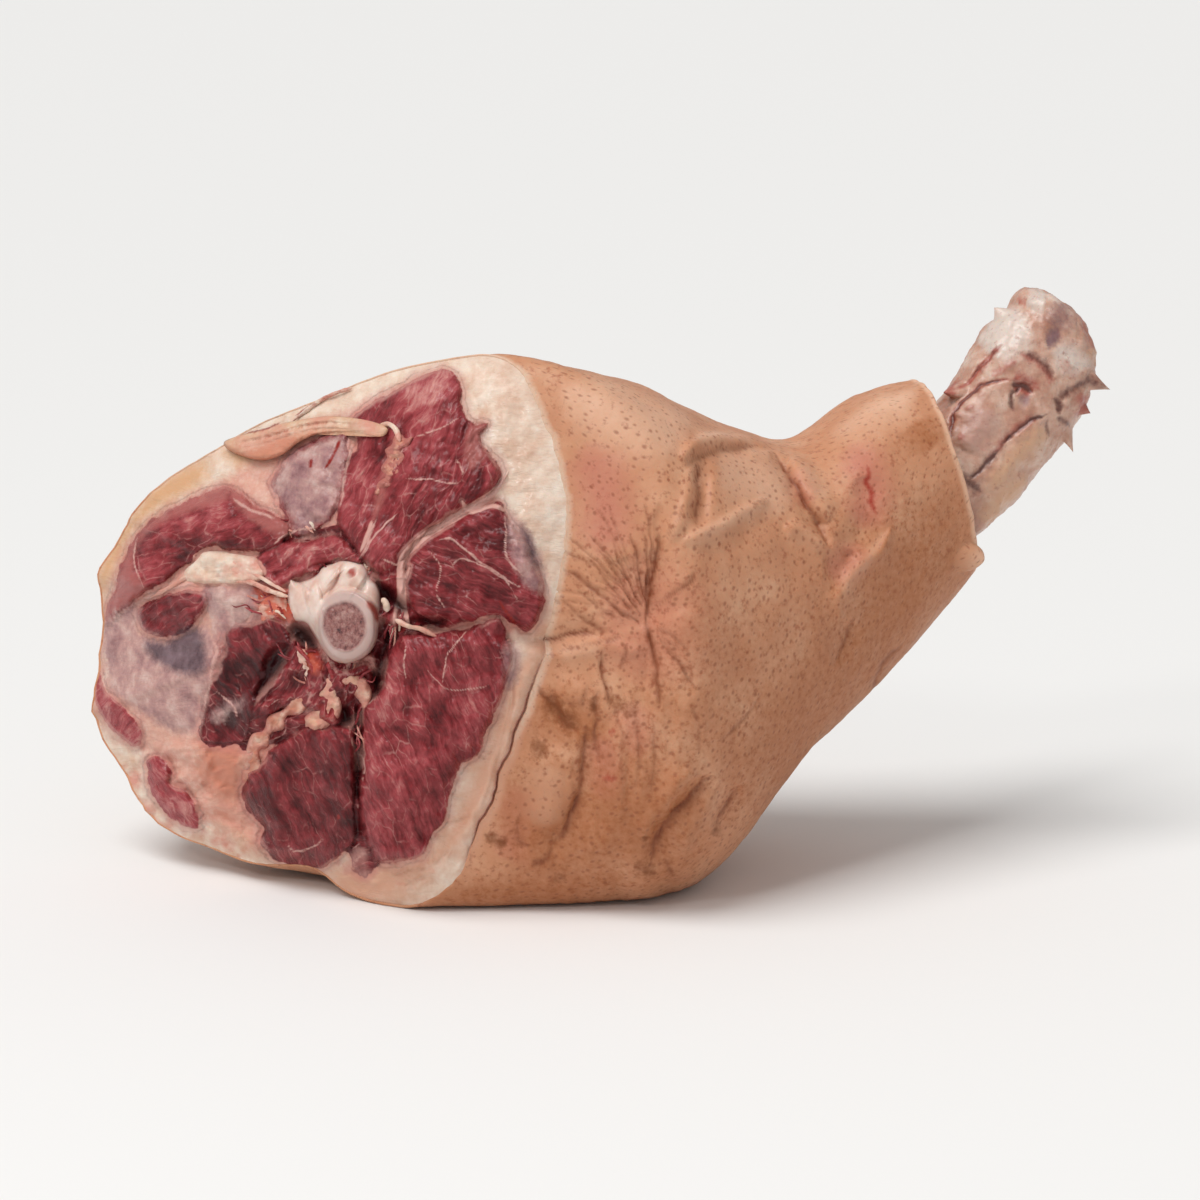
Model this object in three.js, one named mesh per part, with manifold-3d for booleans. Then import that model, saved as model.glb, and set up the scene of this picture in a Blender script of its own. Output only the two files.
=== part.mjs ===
// A whole raw pork leg, lying on its front edge, in millimetres with +Z up.
// The thick cut end points to -X and towards the viewer (-Y), the bare hock points up to +X.
// It is four solids: the rind with its fat, the lean that shows at the cut, the sawn hip bone and the hock.
// The origin is in the middle of the leg's box, on the surface that it rests on.
import * as THREE from 'three';
import Module from 'manifold-3d';

const wasm = await Module();
wasm.setup();

// ---- driving dimensions -------------------------------------------------------------------------------------
const ORIGIN = [-2, 10, 0];   // middle of the leg's box, in the coordinates that the places below are given in
const GAP = 0.3;              // between two pieces that touch
const AROUND = 64;            // corners of a section of the leg
const ALONG = 28;             // sections from the cut to the end of the rind
const FACE_RINGS = 14;        // rings on the cut face
const CORE_AROUND = 40;
const CORE_ALONG = 10;
const SQUARENESS = 0.86;      // power on the section's cosine and sine: 1 is an ellipse, less is squarer
const REST_SOFTNESS = 6;      // over this height the leg's underside rounds into its flat spot
const FACE_CENTRE = [-137, -56, 150];  // foremost point of the bulging cut face
const FACE_BULGE = 40;        // how much the way from there to the rim curves out, four times its height
const SLEEVE_HOLLOW = 7;      // how far the rind's open end dips in around the hock

// Sections of the leg from the cut to the open end of the rind. Each has its middle, the turn and dip in degrees of
// the line through its depth, the lean in degrees of its height line towards +X and +Y, and its four half lengths.
const SECTIONS = [
  { at: [-84, -44, 154], turn: 62, dip: -8, lean: [8, 5], up: 130, down: 158, near: 72, far: 213 },      // rim
  { at: [-50, -30, 142], turn: 49, dip: -5, lean: [6, 3], up: 137, down: 151, near: 92, far: 186 },      // haunch
  { at: [14, -2, 131], turn: 18, dip: 0, lean: [2, 0], up: 131, down: 142, near: 100, far: 122 },        // thigh
  { at: [64, 14, 126], turn: 6, dip: 0, lean: [2, 0], up: 111, down: 119, near: 92, far: 102 },          // stifle
  { at: [103, 32, 142], turn: 9, dip: 0, lean: [0, 0], up: 85, down: 81, near: 76, far: 78 },            // bend
  { at: [146, 48, 174], turn: 12, dip: 0, lean: [-5, 0], up: 74, down: 70, near: 57, far: 60 },          // shin
  { at: [192, 66, 207], turn: 14, dip: 0, lean: [-12, 3], up: 51, down: 49, near: 41, far: 42 },         // sleeve
];

// Where the rim stands out from, or falls short of, its section: angle from the top through the far side and half
// width in degrees, and share of the half length. They fade out over LOBE_REACH of the leg.
const RIM_LOBES = [
  [26, 17, -0.07], [80, 12, 0.03], [140, 12, -0.03], [164, 14, -0.1], [236, 26, -0.15], [316, 20, -0.06],
];
const LOBE_REACH = 0.3;

// Thickness of rind and fat: FAT everywhere, and more at the rim at these angles (degrees, half width, extra).
const FAT = 9;
const FAT_LOBES = [[30, 18, 7], [140, 20, 6], [164, 8, -7], [192, 13, 12], [222, 16, 8], [298, 14, 12], [322, 16, 26]];
const FAT_PRESSED = 6;        // its least thickness where the leg rests on it
const CORE_END = 0.84;        // where the lean ends inside the leg, as a share of its length

// Places on the surface are given as seen from in front: millimetres across and up from the middle of the view,
// where the eye is EYE_FAR from the leg's middle and EYE_TILT degrees above it.
const EYE_FAR = 1733;
const EYE_TILT = 12;
const EYE_AIM = new THREE.Vector3(0, 0, 149);

// Muscles at the cut: across, up, half length, half width, tilt in degrees, rise.
const MUSCLES = [
  [-91, 75, 56, 27, 65, 9],      // upper right
  [-65, 13, 37, 26, 20, 7],      // right middle
  [-88, -76, 66, 32, 66, 11],    // lower right, the largest
  [-153, -99, 40, 31, 60, 9],    // bottom middle
  [-213, 29, 50, 16, 25, 6],     // upper left
  [-222, -7, 19, 12, 0, 4],      // oval in the left
  [-185, -36, 27, 22, 50, 3],    // deep one beside the bone
  [-250, -52, 24, 10, -60, 4],   // far left strip
  [-221, -101, 22, 10, -60, 5],  // bottom left
];
// Clefts between them: from and to (across, up), half width, depth.
const CLEFTS = [
  [[-128, -52], [-131, -134], 8, 12],
  [[-133, -34], [-124, -52], 10, 9],
  [[-112, 18], [-112, -22], 8, 7],
  [[-53, 57], [-99, 8], 7, 3],
  [[-200, -70], [-156, -60], 8, 6],
  [[-207, 8], [-166, 9], 8, 4],
  [[-169, 0], [-166, -28], 8, 6],
  [[-240, -22], [-212, -42], 14, 4],
];
// The rolled edge of fat along the top of the cut, as a ridge: half width and rise.
const ROLL = [[-194, 82], [-178, 88], [-149, 94], [-120, 91]];
const ROLL_HALF = 6;
const ROLL_RISE = 9;
// Folds of the rind on the near side: from and to (across, up), half width, depth (negative for a ridge).
const FOLDS = [
  [[30, 36], [29, -52], 9, 5],
  [[50, 74], [50, 38], 8, 4],
  [[54, 80], [98, 82], 9, -4],
  [[97, 74], [120, 34], 9, 4],
  [[148, 36], [126, 8], 9, -4],
  [[-2, -60], [-18, -130], 10, 3],
  [[58, -92], [28, -140], 10, 3],
];

// The sawn hip bone: rings along its axis, each with distance from the sawn face and half width and half height.
const BONE_FACE = [-126, -77, 154];
const BONE_AXIS = [0.12, -0.97, 0.1];
const BONE_RINGS = [[-74, 13, 13], [-50, 17, 16], [-26, 23, 22], [-12, 24, 23], [-4, 17, 19], [0, 13, 15.5]];
const BONE_AROUND = 28;

// The bare hock: sections with middle, half width across the view and half depth, then its rounded end.
const HOCK_SECTIONS = [
  { at: [154, 52, 170], half: 20, deep: 20 },
  { at: [185, 64, 198], half: 31, deep: 26 },
  { at: [211, 74, 226], half: 36, deep: 29 },
  { at: [232, 84, 256], half: 36, deep: 30 },
  { at: [243, 90, 274], half: 33, deep: 29 },
];
const HOCK_AXIS = [0.62, 0.27, 0.73];
const HOCK_END_RISE = 13;
const HOCK_AROUND = 32;
const HOCK_ALONG = 14;
const HOCK_END_RINGS = 5;

// ---- helpers ------------------------------------------------------------------------------------------------
const vector = ([x, y, z]) => new THREE.Vector3(x, y, z);
const radians = THREE.MathUtils.degToRad;
const TURN = 2 * Math.PI;
const power = (x, p) => Math.sign(x) * Math.abs(x) ** p;

// A smooth curve through the points, evenly spaced in its parameter.
const through = (points) => new THREE.CatmullRomCurve3(points, false, 'catmullrom', 0.5);

// Sum of bell-shaped lobes at an angle: each is [angle, half width, amount], in degrees.
function lobes(list, angle) {
  return list.reduce((sum, [at, half, amount]) => {
    const away = THREE.MathUtils.euclideanModulo(THREE.MathUtils.radToDeg(angle) - at + 180, 360) - 180;
    return sum + amount * Math.exp(-((away / half) ** 2));
  }, 0);
}

// ---- the view that places on the surface are given in ---------------------------------------------------------
const tilt = radians(EYE_TILT);
const eyeForward = new THREE.Vector3(0, Math.cos(tilt), -Math.sin(tilt));
const eyeUp = new THREE.Vector3(0, Math.sin(tilt), Math.cos(tilt));
const eye = EYE_AIM.clone().addScaledVector(eyeForward, -EYE_FAR);

function seenAt(point) {
  const ray = point.clone().sub(eye);
  const scale = EYE_FAR / ray.dot(eyeForward);
  return new THREE.Vector2(ray.x * scale, ray.dot(eyeUp) * scale);
}

function towardsEye(point, rise) {
  return point.addScaledVector(eye.clone().sub(point).normalize(), rise);
}

function distanceToSegment(place, from, to) {
  const segment = new THREE.Line3(new THREE.Vector3(...from, 0), new THREE.Vector3(...to, 0));
  const spot = new THREE.Vector3(place.x, place.y, 0);
  return segment.closestPointToPoint(spot, true, new THREE.Vector3()).distanceTo(spot);
}

// Depth of a list of straight grooves at a place, each with a bell-shaped section.
function grooves(list, place) {
  return list.reduce((sum, [from, to, half, depth]) => (
    sum + depth * Math.exp(-((distanceToSegment(place, from, to) / half) ** 2))
  ), 0);
}

// A muscle is a low bump, (1 - d^2)^2 of its ellipse's d.
function muscleRise(place) {
  return MUSCLES.reduce((sum, [across, up, length, width, turned, rise]) => {
    const spot = place.clone().sub(new THREE.Vector2(across, up));
    spot.rotateAround(new THREE.Vector2(), -radians(turned));
    const d2 = (spot.x / length) ** 2 + (spot.y / width) ** 2;
    return d2 < 1 ? sum + rise * (1 - d2) ** 2 : sum;
  }, 0);
}

function rollRise(place) {
  const away = Math.min(...ROLL.slice(1).map((to, i) => distanceToSegment(place, ROLL[i], to)));
  return ROLL_RISE * Math.exp(-((away / ROLL_HALF) ** 2));
}

// ---- the leg's surface ----------------------------------------------------------------------------------------
const deepLine = ({ turn, dip }) => new THREE.Vector3(
  -Math.sin(radians(turn)) * Math.cos(radians(dip)),
  Math.cos(radians(turn)) * Math.cos(radians(dip)),
  Math.sin(radians(dip)),
);
const heightLine = ({ lean }) => (
  new THREE.Vector3(Math.sin(radians(lean[0])), Math.sin(radians(lean[1])), 1).normalize()
);
const legCurves = {
  middle: through(SECTIONS.map((s) => vector(s.at))),
  up: through(SECTIONS.map((s) => heightLine(s).multiplyScalar(s.up))),
  down: through(SECTIONS.map((s) => heightLine(s).multiplyScalar(-s.down))),
  near: through(SECTIONS.map((s) => deepLine(s).multiplyScalar(-s.near))),
  far: through(SECTIONS.map((s) => deepLine(s).multiplyScalar(s.far))),
};

// Keeps a point above the surface the leg rests on, rounding in over REST_SOFTNESS.
function rest(point) {
  const soft = REST_SOFTNESS;
  if (point.z < soft) point.z = point.z < -soft ? 0 : (point.z + soft) ** 2 / (4 * soft);
  return point;
}

// A point of the leg: share t along it, angle v from the top through the far side, inset from the rind's surface.
function legPoint(t, v, inset = 0) {
  const height = legCurves[Math.cos(v) > 0 ? 'up' : 'down'].getPoint(t);
  const depth = legCurves[Math.sin(v) > 0 ? 'far' : 'near'].getPoint(t);
  const swell = 1 + lobes(RIM_LOBES, v) * Math.max(0, 1 - t / LOBE_REACH) ** 2;
  const shortened = (line) => line.multiplyScalar(swell).setLength(line.length() - inset);
  return legCurves.middle.getPoint(t)
    .addScaledVector(shortened(height), Math.abs(Math.cos(v)) ** SQUARENESS)
    .addScaledVector(shortened(depth), Math.abs(Math.sin(v)) ** SQUARENESS);
}

function rindPoint(t, v) {
  const point = legPoint(t, v);
  const facing = Math.max(0, -Math.sin(v));
  towardsEye(point, -grooves(FOLDS, seenAt(point)) * facing);
  return rest(point);
}

// A point of the cut face: share w from its foremost point to the rim.
function facePoint(w, v) {
  const rim = rindPoint(0, v);
  const point = towardsEye(vector(FACE_CENTRE).lerp(rim, w), FACE_BULGE * w * (1 - w));
  const place = seenAt(point);
  const fade = Math.min(1, (1 - w) * 6);
  return rest(towardsEye(point, fade * (muscleRise(place) + rollRise(place) - grooves(CLEFTS, place))));
}

// A point of the rind's open end, from the middle to its edge.
function sleevePoint(w, v) {
  const middle = legCurves.middle.getPoint(1);
  const inward = legCurves.middle.getTangent(1).multiplyScalar(-SLEEVE_HOLLOW * (1 - w ** 6));
  return middle.lerp(rindPoint(1, v), w).add(inward);
}

// ---- solids ---------------------------------------------------------------------------------------------------
// A closed solid from rings of points that run anticlockwise seen from the last ring; its two ends are points.
function solid(start, rings, end) {
  const around = rings[0].length;
  const points = [start, ...rings.flat(), end];
  const last = points.length - 1;
  const corner = (ring, i) => 1 + ring * around + (i % around);
  const triangles = [];
  for (let i = 0; i < around; i++) {
    triangles.push(0, corner(0, i + 1), corner(0, i));
    for (let ring = 0; ring < rings.length - 1; ring++) {
      const [a, b, c, d] = [corner(ring, i), corner(ring, i + 1), corner(ring + 1, i + 1), corner(ring + 1, i)];
      triangles.push(a, b, c, a, c, d);
    }
    triangles.push(last, corner(rings.length - 1, i), corner(rings.length - 1, i + 1));
  }
  return new wasm.Manifold(new wasm.Mesh({
    numProp: 3,
    vertProperties: new Float32Array(points.flatMap((p) => [p.x, p.y, p.z])),
    triVerts: new Uint32Array(triangles),
  }));
}

const steps = (count, from, to) => Array.from({ length: count }, (_, i) => from + (to - from) * i / (count - 1));
const angles = (count) => Array.from({ length: count }, (_, i) => TURN * i / count);
const ringOf = (count, point) => angles(count).map(point);
// The leg's angles run clockwise seen from its open end, so its rings take them backwards.
const legRing = (count, point) => ringOf(count, (v) => point(-v));

// The whole leg without the hock: cut face, rind, open end.
function wholeLeg() {
  const face = steps(FACE_RINGS, 1 / FACE_RINGS, 1).map((w) => legRing(AROUND, (v) => facePoint(w, v)));
  const side = steps(ALONG, 1 / ALONG, 1).map((t) => legRing(AROUND, (v) => rindPoint(t, v)));
  const sleeve = [0.85, 0.5].map((w) => legRing(AROUND, (v) => sleevePoint(w, v)));
  return solid(facePoint(0, 0), [...face, ...side, ...sleeve], sleevePoint(0, 0));
}

// All that is inside the rind and fat, and on past the cut so that it can be used to part the two.
function core(grow) {
  const beyond = 130;
  const inset = (t, v) => FAT + lobes(FAT_LOBES, v) * Math.max(0, 1 - t / LOBE_REACH) - grow;
  const ring = (t) => legRing(CORE_AROUND, (v) => {
    const point = legPoint(t, v, inset(t, v));
    return point.setZ(Math.max(point.z, FAT_PRESSED - grow));
  });
  const outside = ring(0).map((point) => towardsEye(point, beyond));
  const rings = [outside, ...steps(CORE_ALONG, 0, CORE_END).map(ring)];
  const start = towardsEye(legCurves.middle.getPoint(0), beyond);
  const end = legCurves.middle.getPoint(CORE_END).addScaledVector(legCurves.middle.getTangent(CORE_END), grow);
  return solid(start, rings, end);
}

// The sawn end of the hip bone, a knob that narrows to a flat oval.
function hipBone(grow) {
  const axis = vector(BONE_AXIS).normalize();
  const across = new THREE.Vector3(0, 0, 1).cross(axis).normalize();
  const high = axis.clone().cross(across);
  const face = vector(BONE_FACE);
  const place = (distance) => face.clone().addScaledVector(axis, distance);
  const rings = BONE_RINGS.map(([distance, width, height]) => ringOf(BONE_AROUND, (v) => (
    place(distance + (distance === 0 ? grow : 0))
      .addScaledVector(across, (width + grow) * Math.cos(v))
      .addScaledVector(high, (height + grow) * Math.sin(v))
  )));
  return solid(place(BONE_RINGS[0][0] - grow), rings, place(grow));
}

// The bare hock, from its root inside the rind to its rounded end.
function hock(grow) {
  const axis = vector(HOCK_AXIS).normalize();
  const deep = axis.clone().cross(new THREE.Vector3(0.78, 0, -0.62)).normalize();
  const across = deep.clone().cross(axis);
  const middle = through(HOCK_SECTIONS.map((s) => vector(s.at)));
  const halves = through(HOCK_SECTIONS.map((s) => new THREE.Vector3(s.half + grow, s.deep + grow, 0)));
  const ring = (t, size, rise) => ringOf(HOCK_AROUND, (v) => {
    const half = halves.getPoint(t).multiplyScalar(size);
    return middle.getPoint(t)
      .addScaledVector(across, half.x * power(Math.cos(v), SQUARENESS))
      .addScaledVector(deep, half.y * power(Math.sin(v), SQUARENESS))
      .addScaledVector(axis, rise);
  });
  const rings = steps(HOCK_ALONG, 0, 1).map((t) => ring(t, 1, 0));
  for (let i = 1; i < HOCK_END_RINGS; i++) {
    const bend = i / HOCK_END_RINGS * Math.PI / 2;
    rings.push(ring(1, Math.cos(bend), HOCK_END_RISE * Math.sin(bend)));
  }
  const start = middle.getPoint(0).addScaledVector(axis, -grow);
  return solid(start, rings, middle.getPoint(1).addScaledVector(axis, HOCK_END_RISE + grow));
}

// The largest connected part of a solid: a cut may leave crumbs.
const largest = (shape) => shape.decompose().sort((a, b) => b.volume() - a.volume())[0];

// ---- scene graph ------------------------------------------------------------------------------------------------
function named(name, shape, look) {
  const { vertProperties, triVerts } = shape.getMesh();
  const geometry = new THREE.BufferGeometry();
  geometry.setAttribute('position', new THREE.BufferAttribute(new Float32Array(vertProperties), 3));
  geometry.setIndex(new THREE.BufferAttribute(new Uint32Array(triVerts), 1));
  geometry.computeVertexNormals();
  const mesh = new THREE.Mesh(geometry, new THREE.MeshStandardMaterial(look));
  mesh.name = name;
  return mesh;
}

const leg = wholeLeg();
const insideRind = core(GAP);
const lean = leg.intersect(core(0)).subtract(hock(GAP)).subtract(hipBone(GAP));
const rindAndFat = leg.subtract(insideRind).subtract(hock(GAP)).subtract(hipBone(GAP));

const porkLeg = new THREE.Group();
porkLeg.position.set(...ORIGIN).negate();
porkLeg.add(
  named('rind_and_fat', largest(rindAndFat), { color: '#c9987a', roughness: 0.55, metalness: 0 }),
  named('lean', largest(lean), { color: '#7d3a42', roughness: 0.4, metalness: 0 }),
  named('hip_bone', hipBone(0), { color: '#e6d6cb', roughness: 0.45, metalness: 0 }),
  named('hock', hock(0), { color: '#d8b9a8', roughness: 0.45, metalness: 0 }),
);

export default porkLeg;
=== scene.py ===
# %% [markdown]
# # A raw pork leg
# The leg lies on its front edge: a broad cut end with muscles, fat and the sawn hip bone to the left, rind
# over the thigh and shin, and the bare hock at the upper right. The solids of the frame give the size and
# the main form. They could be sculpted by hand, but a fine surface worked out from the same sections keeps
# the size, and folds, muscles and fat can be carved into it.

# %% Load the frame
import bpy
import numpy as np
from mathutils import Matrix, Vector


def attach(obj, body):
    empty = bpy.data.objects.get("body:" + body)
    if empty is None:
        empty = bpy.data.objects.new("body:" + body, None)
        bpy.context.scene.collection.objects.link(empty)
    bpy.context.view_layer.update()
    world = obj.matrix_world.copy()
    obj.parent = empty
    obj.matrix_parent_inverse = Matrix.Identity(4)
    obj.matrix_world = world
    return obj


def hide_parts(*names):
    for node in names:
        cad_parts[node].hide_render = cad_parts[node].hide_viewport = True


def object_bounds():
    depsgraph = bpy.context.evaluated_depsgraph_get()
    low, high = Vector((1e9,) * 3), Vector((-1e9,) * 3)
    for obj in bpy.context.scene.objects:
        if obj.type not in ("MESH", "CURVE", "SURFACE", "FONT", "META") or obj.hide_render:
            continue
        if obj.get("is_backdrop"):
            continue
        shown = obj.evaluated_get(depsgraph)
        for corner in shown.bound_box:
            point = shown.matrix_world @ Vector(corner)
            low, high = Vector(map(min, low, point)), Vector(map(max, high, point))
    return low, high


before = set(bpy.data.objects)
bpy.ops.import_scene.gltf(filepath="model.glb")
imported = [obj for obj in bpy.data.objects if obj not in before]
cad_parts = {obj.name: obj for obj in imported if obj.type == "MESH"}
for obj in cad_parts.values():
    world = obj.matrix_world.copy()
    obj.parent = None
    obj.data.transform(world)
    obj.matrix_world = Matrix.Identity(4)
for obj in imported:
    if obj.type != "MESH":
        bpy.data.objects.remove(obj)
cad_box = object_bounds()
print("nodes of the frame:", sorted(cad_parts))

# %% [markdown]
# ## Where things are
# The shape is worked out in millimetres in the leg's own coordinates, and moved and scaled to the frame
# only when a mesh is made. Small things, such as a crease or a vein, are placed where they are seen from in
# front. That place is given in pixels of the 1200 by 1200 picture, and the formula of a camera's
# perspective ties it to the surface. A texture image could hold them too, but carved ones catch the light
# from every side.

# %% Units and the view from in front
MM = 0.001
TO_FRAME = np.array([2.0, -10.0, 0.0])
PIXEL = 0.52                        # millimetres that a pixel of the picture spans at the leg's middle
PICTURE_MIDDLE = 600
EYE_FAR = 1733                      # millimetres from the eye to the leg's middle
EYE_TILT = np.radians(12)           # how far it looks down
EYE_AIM = np.array([0.0, 0.0, 149.0])
FORWARD = np.array([0.0, np.cos(EYE_TILT), -np.sin(EYE_TILT)])
UPWARD = np.array([0.0, np.sin(EYE_TILT), np.cos(EYE_TILT)])
EYE = EYE_AIM - EYE_FAR * FORWARD
SAME_PLACE = 1.5                    # pixels within which two points are seen at one place
print("the eye in millimetres:", EYE.round())


def unit(vectors):
    """Vectors divided by their own length."""
    return vectors / np.linalg.norm(vectors, axis=-1, keepdims=True)


def seen(points):
    """Pixel where each point is seen: its sideways and upward distance, shrunk in proportion to its depth."""
    ray = points - EYE
    size = EYE_FAR / (ray @ FORWARD) / PIXEL
    return np.stack([PICTURE_MIDDLE + ray[..., 0] * size, PICTURE_MIDDLE - (ray @ UPWARD) * size], -1)


def lifted(points, rise):
    """Points moved towards the eye, which leaves the pixel where they are seen as it was."""
    return points + unit(EYE - points) * np.asarray(rise)[..., None]


def seen_at(points, place):
    """Of the points that are seen at a place in the picture, the one nearest to the eye."""
    gap = np.hypot(*(seen(points) - place).T)
    return points[np.argmin(np.where(gap < gap.min() + SAME_PLACE, (points - EYE) @ FORWARD, np.inf))]


def drawn_out(points, place, tip, half, thin, out=0.0, sharp=1.2):
    """Points near a place pulled to a tip, both in the picture, by (1 - distance in half sizes) ^ sharp."""
    off = points - seen_at(points.reshape(-1, 3), place)
    depth = off @ FORWARD
    flat = off - depth[..., None] * FORWARD
    gap = np.sqrt((flat**2).sum(-1) / half**2 + depth**2 / thin**2)
    right, down = np.subtract(tip, place) * PIXEL
    pull = right * np.array([1.0, 0, 0]) - down * UPWARD - out * FORWARD
    return points + (np.clip(1 - gap, 0, 1) ** sharp)[..., None] * pull


# %% [markdown]
# ## Curves, distances and noise
# A Catmull-Rom curve goes through every point that it is given, so a few given points make a smooth
# outline, where a Bezier curve would need handles too. How deep a vertex lies inside an outline, in
# millimetres, is the most useful number for food: it rounds the edge of a muscle, and the shader can cut a
# crisp edge at zero however coarse the mesh is.

# %% Curves and distances
FAR_OFF = 30.0                      # depths are worked out up to this far from an outline, in millimetres


def through(points, share):
    """Catmull-Rom curve at share 0 to 1: half of 2b + (c-a)f + (2a-5b+4c-d)f^2 + (3b-a-3c+d)f^3."""
    known = np.asarray(points, float)
    last = len(known) - 1
    padded = np.vstack([2 * known[:1] - known[1:2], known, 2 * known[-1:] - known[-2:-1]])
    where = np.clip(share, 0, 1) * last
    first = np.minimum(where.astype(int), last - 1)
    f = (where - first)[..., None]
    a, b, c, d = (padded[first + i] for i in range(4))
    return (2 * b + (c - a) * f + (2 * a - 5 * b + 4 * c - d) * f**2 + (3 * b - a - 3 * c + d) * f**3) / 2


def outline(corners, fine=6):
    """Smooth closed outline: the curve through the corners wrapped round, with its first point again."""
    ring = np.vstack([corners[-1:], corners, corners[:2]])
    share = (1 + np.arange(len(corners) * fine + 1) / fine) / (len(ring) - 1)
    return through(ring, share)


def to_path(places, path):
    """Millimetres from places to a path of straight pieces, and the share along it where it is nearest."""
    nearest = np.full(len(places), np.inf)
    where = np.zeros(len(places))
    for i, (start, end) in enumerate(zip(path[:-1], path[1:])):
        step = end - start
        share = np.clip((places - start) @ step / max(step @ step, 1e-9), 0, 1)
        gap = np.hypot(*(places - start - share[:, None] * step).T)
        where = np.where(gap < nearest, i + share, where)
        nearest = np.minimum(gap, nearest)
    return nearest * PIXEL, where / (len(path) - 1)


def near(places, path, margin=FAR_OFF):
    """Which places are inside the path's box, widened by a margin in millimetres."""
    reach = margin / PIXEL
    return ((places > path.min(0) - reach) & (places < path.max(0) + reach)).all(-1)


def depth_in(places, corners):
    """Millimetres inside a smooth outline, negative outside: distance, signed by the crossings of a ray."""
    ring = outline(np.array(corners, float))
    close = near(places, ring)
    spots = places[close]
    gap, _ = to_path(spots, ring)
    inside = np.zeros(len(spots), bool)
    for (x0, y0), (x1, y1) in zip(ring[:-1], ring[1:]):
        crosses = (y0 > spots[:, 1]) != (y1 > spots[:, 1])
        inside ^= crosses & (spots[:, 0] < x0 + (x1 - x0) * (spots[:, 1] - y0) / (y1 - y0 + 1e-12))
    depth = np.full(len(places), -FAR_OFF)
    depth[close] = np.where(inside, gap, -gap)
    return depth


def stroke(places, points, half):
    """Strength 0 to 1 of a soft line: a bell of the distance to it, thin and faint at both ends."""
    path = through(points, np.linspace(0, 1, 4 * len(points)))
    strength = np.zeros(len(places))
    close = near(places, path, 3 * half)
    gap, share = to_path(places[close], path)
    taper = np.sqrt(np.clip(5 * np.minimum(share, 1 - share), 0.001, 1))
    strength[close] = np.exp(-((gap / (half * taper)) ** 2)) * taper
    return strength


# %% [markdown]
# Perlin noise gives hills without any repeat: each corner of a grid of cubes gets a random slope, and a
# point blends the eight slopes round it. Blender's own noise would do, but only point by point, and this
# works on whole arrays. The draw is seeded, so the leg comes out the same each time.

# %% Noise
HILLS_TO_ONE = 1.7                  # brings the noise up to about -1 to 1
random = np.random.default_rng(11)
SHUFFLE = np.tile(random.permutation(256), 3)
SLOPES = unit(random.normal(size=(256, 3)))


def hills(points, size, octaves=1, seed=0):
    """Perlin noise of about -1 to 1, each octave half the size and height of the one before."""
    total = np.zeros(len(points))
    for octave in range(octaves):
        spot = points / size * 2**octave + 31.7 * (seed + octave)
        cell = np.floor(spot).astype(int)
        inner = spot - cell
        ease = inner**3 * (inner * (inner * 6 - 15) + 10)
        for corner in np.ndindex(2, 2, 2):
            x, y, z = ((cell + corner) & 255).T
            slope = SLOPES[SHUFFLE[SHUFFLE[SHUFFLE[x] + y] + z]]
            weight = np.where(corner, ease, 1 - ease).prod(-1)
            total += weight * ((inner - corner) * slope).sum(-1) / 2**octave
    return total * HILLS_TO_ONE


def flat_hills(places, size, octaves=1, seed=0):
    """The same noise on places in the picture, with the size in millimetres."""
    return hills(np.column_stack([places * PIXEL, np.zeros(len(places))]), size, octaves, seed)


def shaken(places, size, octaves, seeds, reach):
    """How far places wander in the picture: noise once for each axis, times a reach."""
    return np.column_stack([flat_hills(places, size, octaves, seed) for seed in seeds]) * reach


def smooth(value, low, high):
    """0 below low, 1 above high, and an S-shaped rise between them."""
    share = np.clip((value - low) / (high - low), 0, 1)
    return share * share * (3 - 2 * share)


def bell(value, half):
    """e to the minus square of value over half: 1 at zero, and nearly 0 at two halves."""
    return np.exp(-((value / half) ** 2))


def raise_to(values, key, strength):
    """Raises an attribute to a strength where it is weaker."""
    values[key] = np.maximum(values[key], strength)


print("noise at the origin:", hills(np.zeros((1, 3)), 10, 3).round(3))

# %% [markdown]
# ## The leg's form
# The leg is a stack of sections from the cut to the open end of the rind. Each has its middle, the turn of
# the line through its depth, and four half lengths, since a thigh isn't round. Curves through those numbers
# give a section anywhere. These are the same sections as in the solids, so both have one size.

# %% Sections of the leg
SECTIONS = [
    dict(at=(-84, -44, 154), turn=62, dip=-8, lean=(8, 5), up=130, down=158, near=72, far=213),     # rim
    dict(at=(-50, -30, 142), turn=49, dip=-5, lean=(6, 3), up=137, down=151, near=92, far=186),     # haunch
    dict(at=(14, -2, 131), turn=18, dip=0, lean=(2, 0), up=131, down=142, near=100, far=122),       # thigh
    dict(at=(64, 14, 126), turn=6, dip=0, lean=(2, 0), up=111, down=119, near=92, far=102),         # stifle
    dict(at=(103, 32, 142), turn=9, dip=0, lean=(0, 0), up=85, down=81, near=76, far=78),           # bend
    dict(at=(146, 48, 174), turn=12, dip=0, lean=(-5, 0), up=74, down=70, near=57, far=60),         # shin
    dict(at=(192, 66, 207), turn=14, dip=0, lean=(-12, 3), up=51, down=49, near=41, far=42),        # sleeve
]
# Where the rim stands out: degrees from the top through the far side, half width, and share.
RIM_LOBES = [
    (26, 17, -0.07), (80, 12, 0.03), (140, 12, -0.03), (164, 14, -0.1), (236, 26, -0.15), (316, 20, -0.06),
]
LOBE_REACH = 0.3
# The rim's small steps: degrees from the top through the far side, half width, and millimetres outwards.
RIM_STEPS = [
    (46, 8, -6.5), (82, 8, 2.5), (108, 6, 3.5), (121, 7, -4.0), (147, 8, -6.0), (165, 6, -5.0),
    (179, 6, 6.0),
]
STEP_REACH = 0.12
SQUARENESS = 0.86
REST_SOFTNESS = 6


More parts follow.
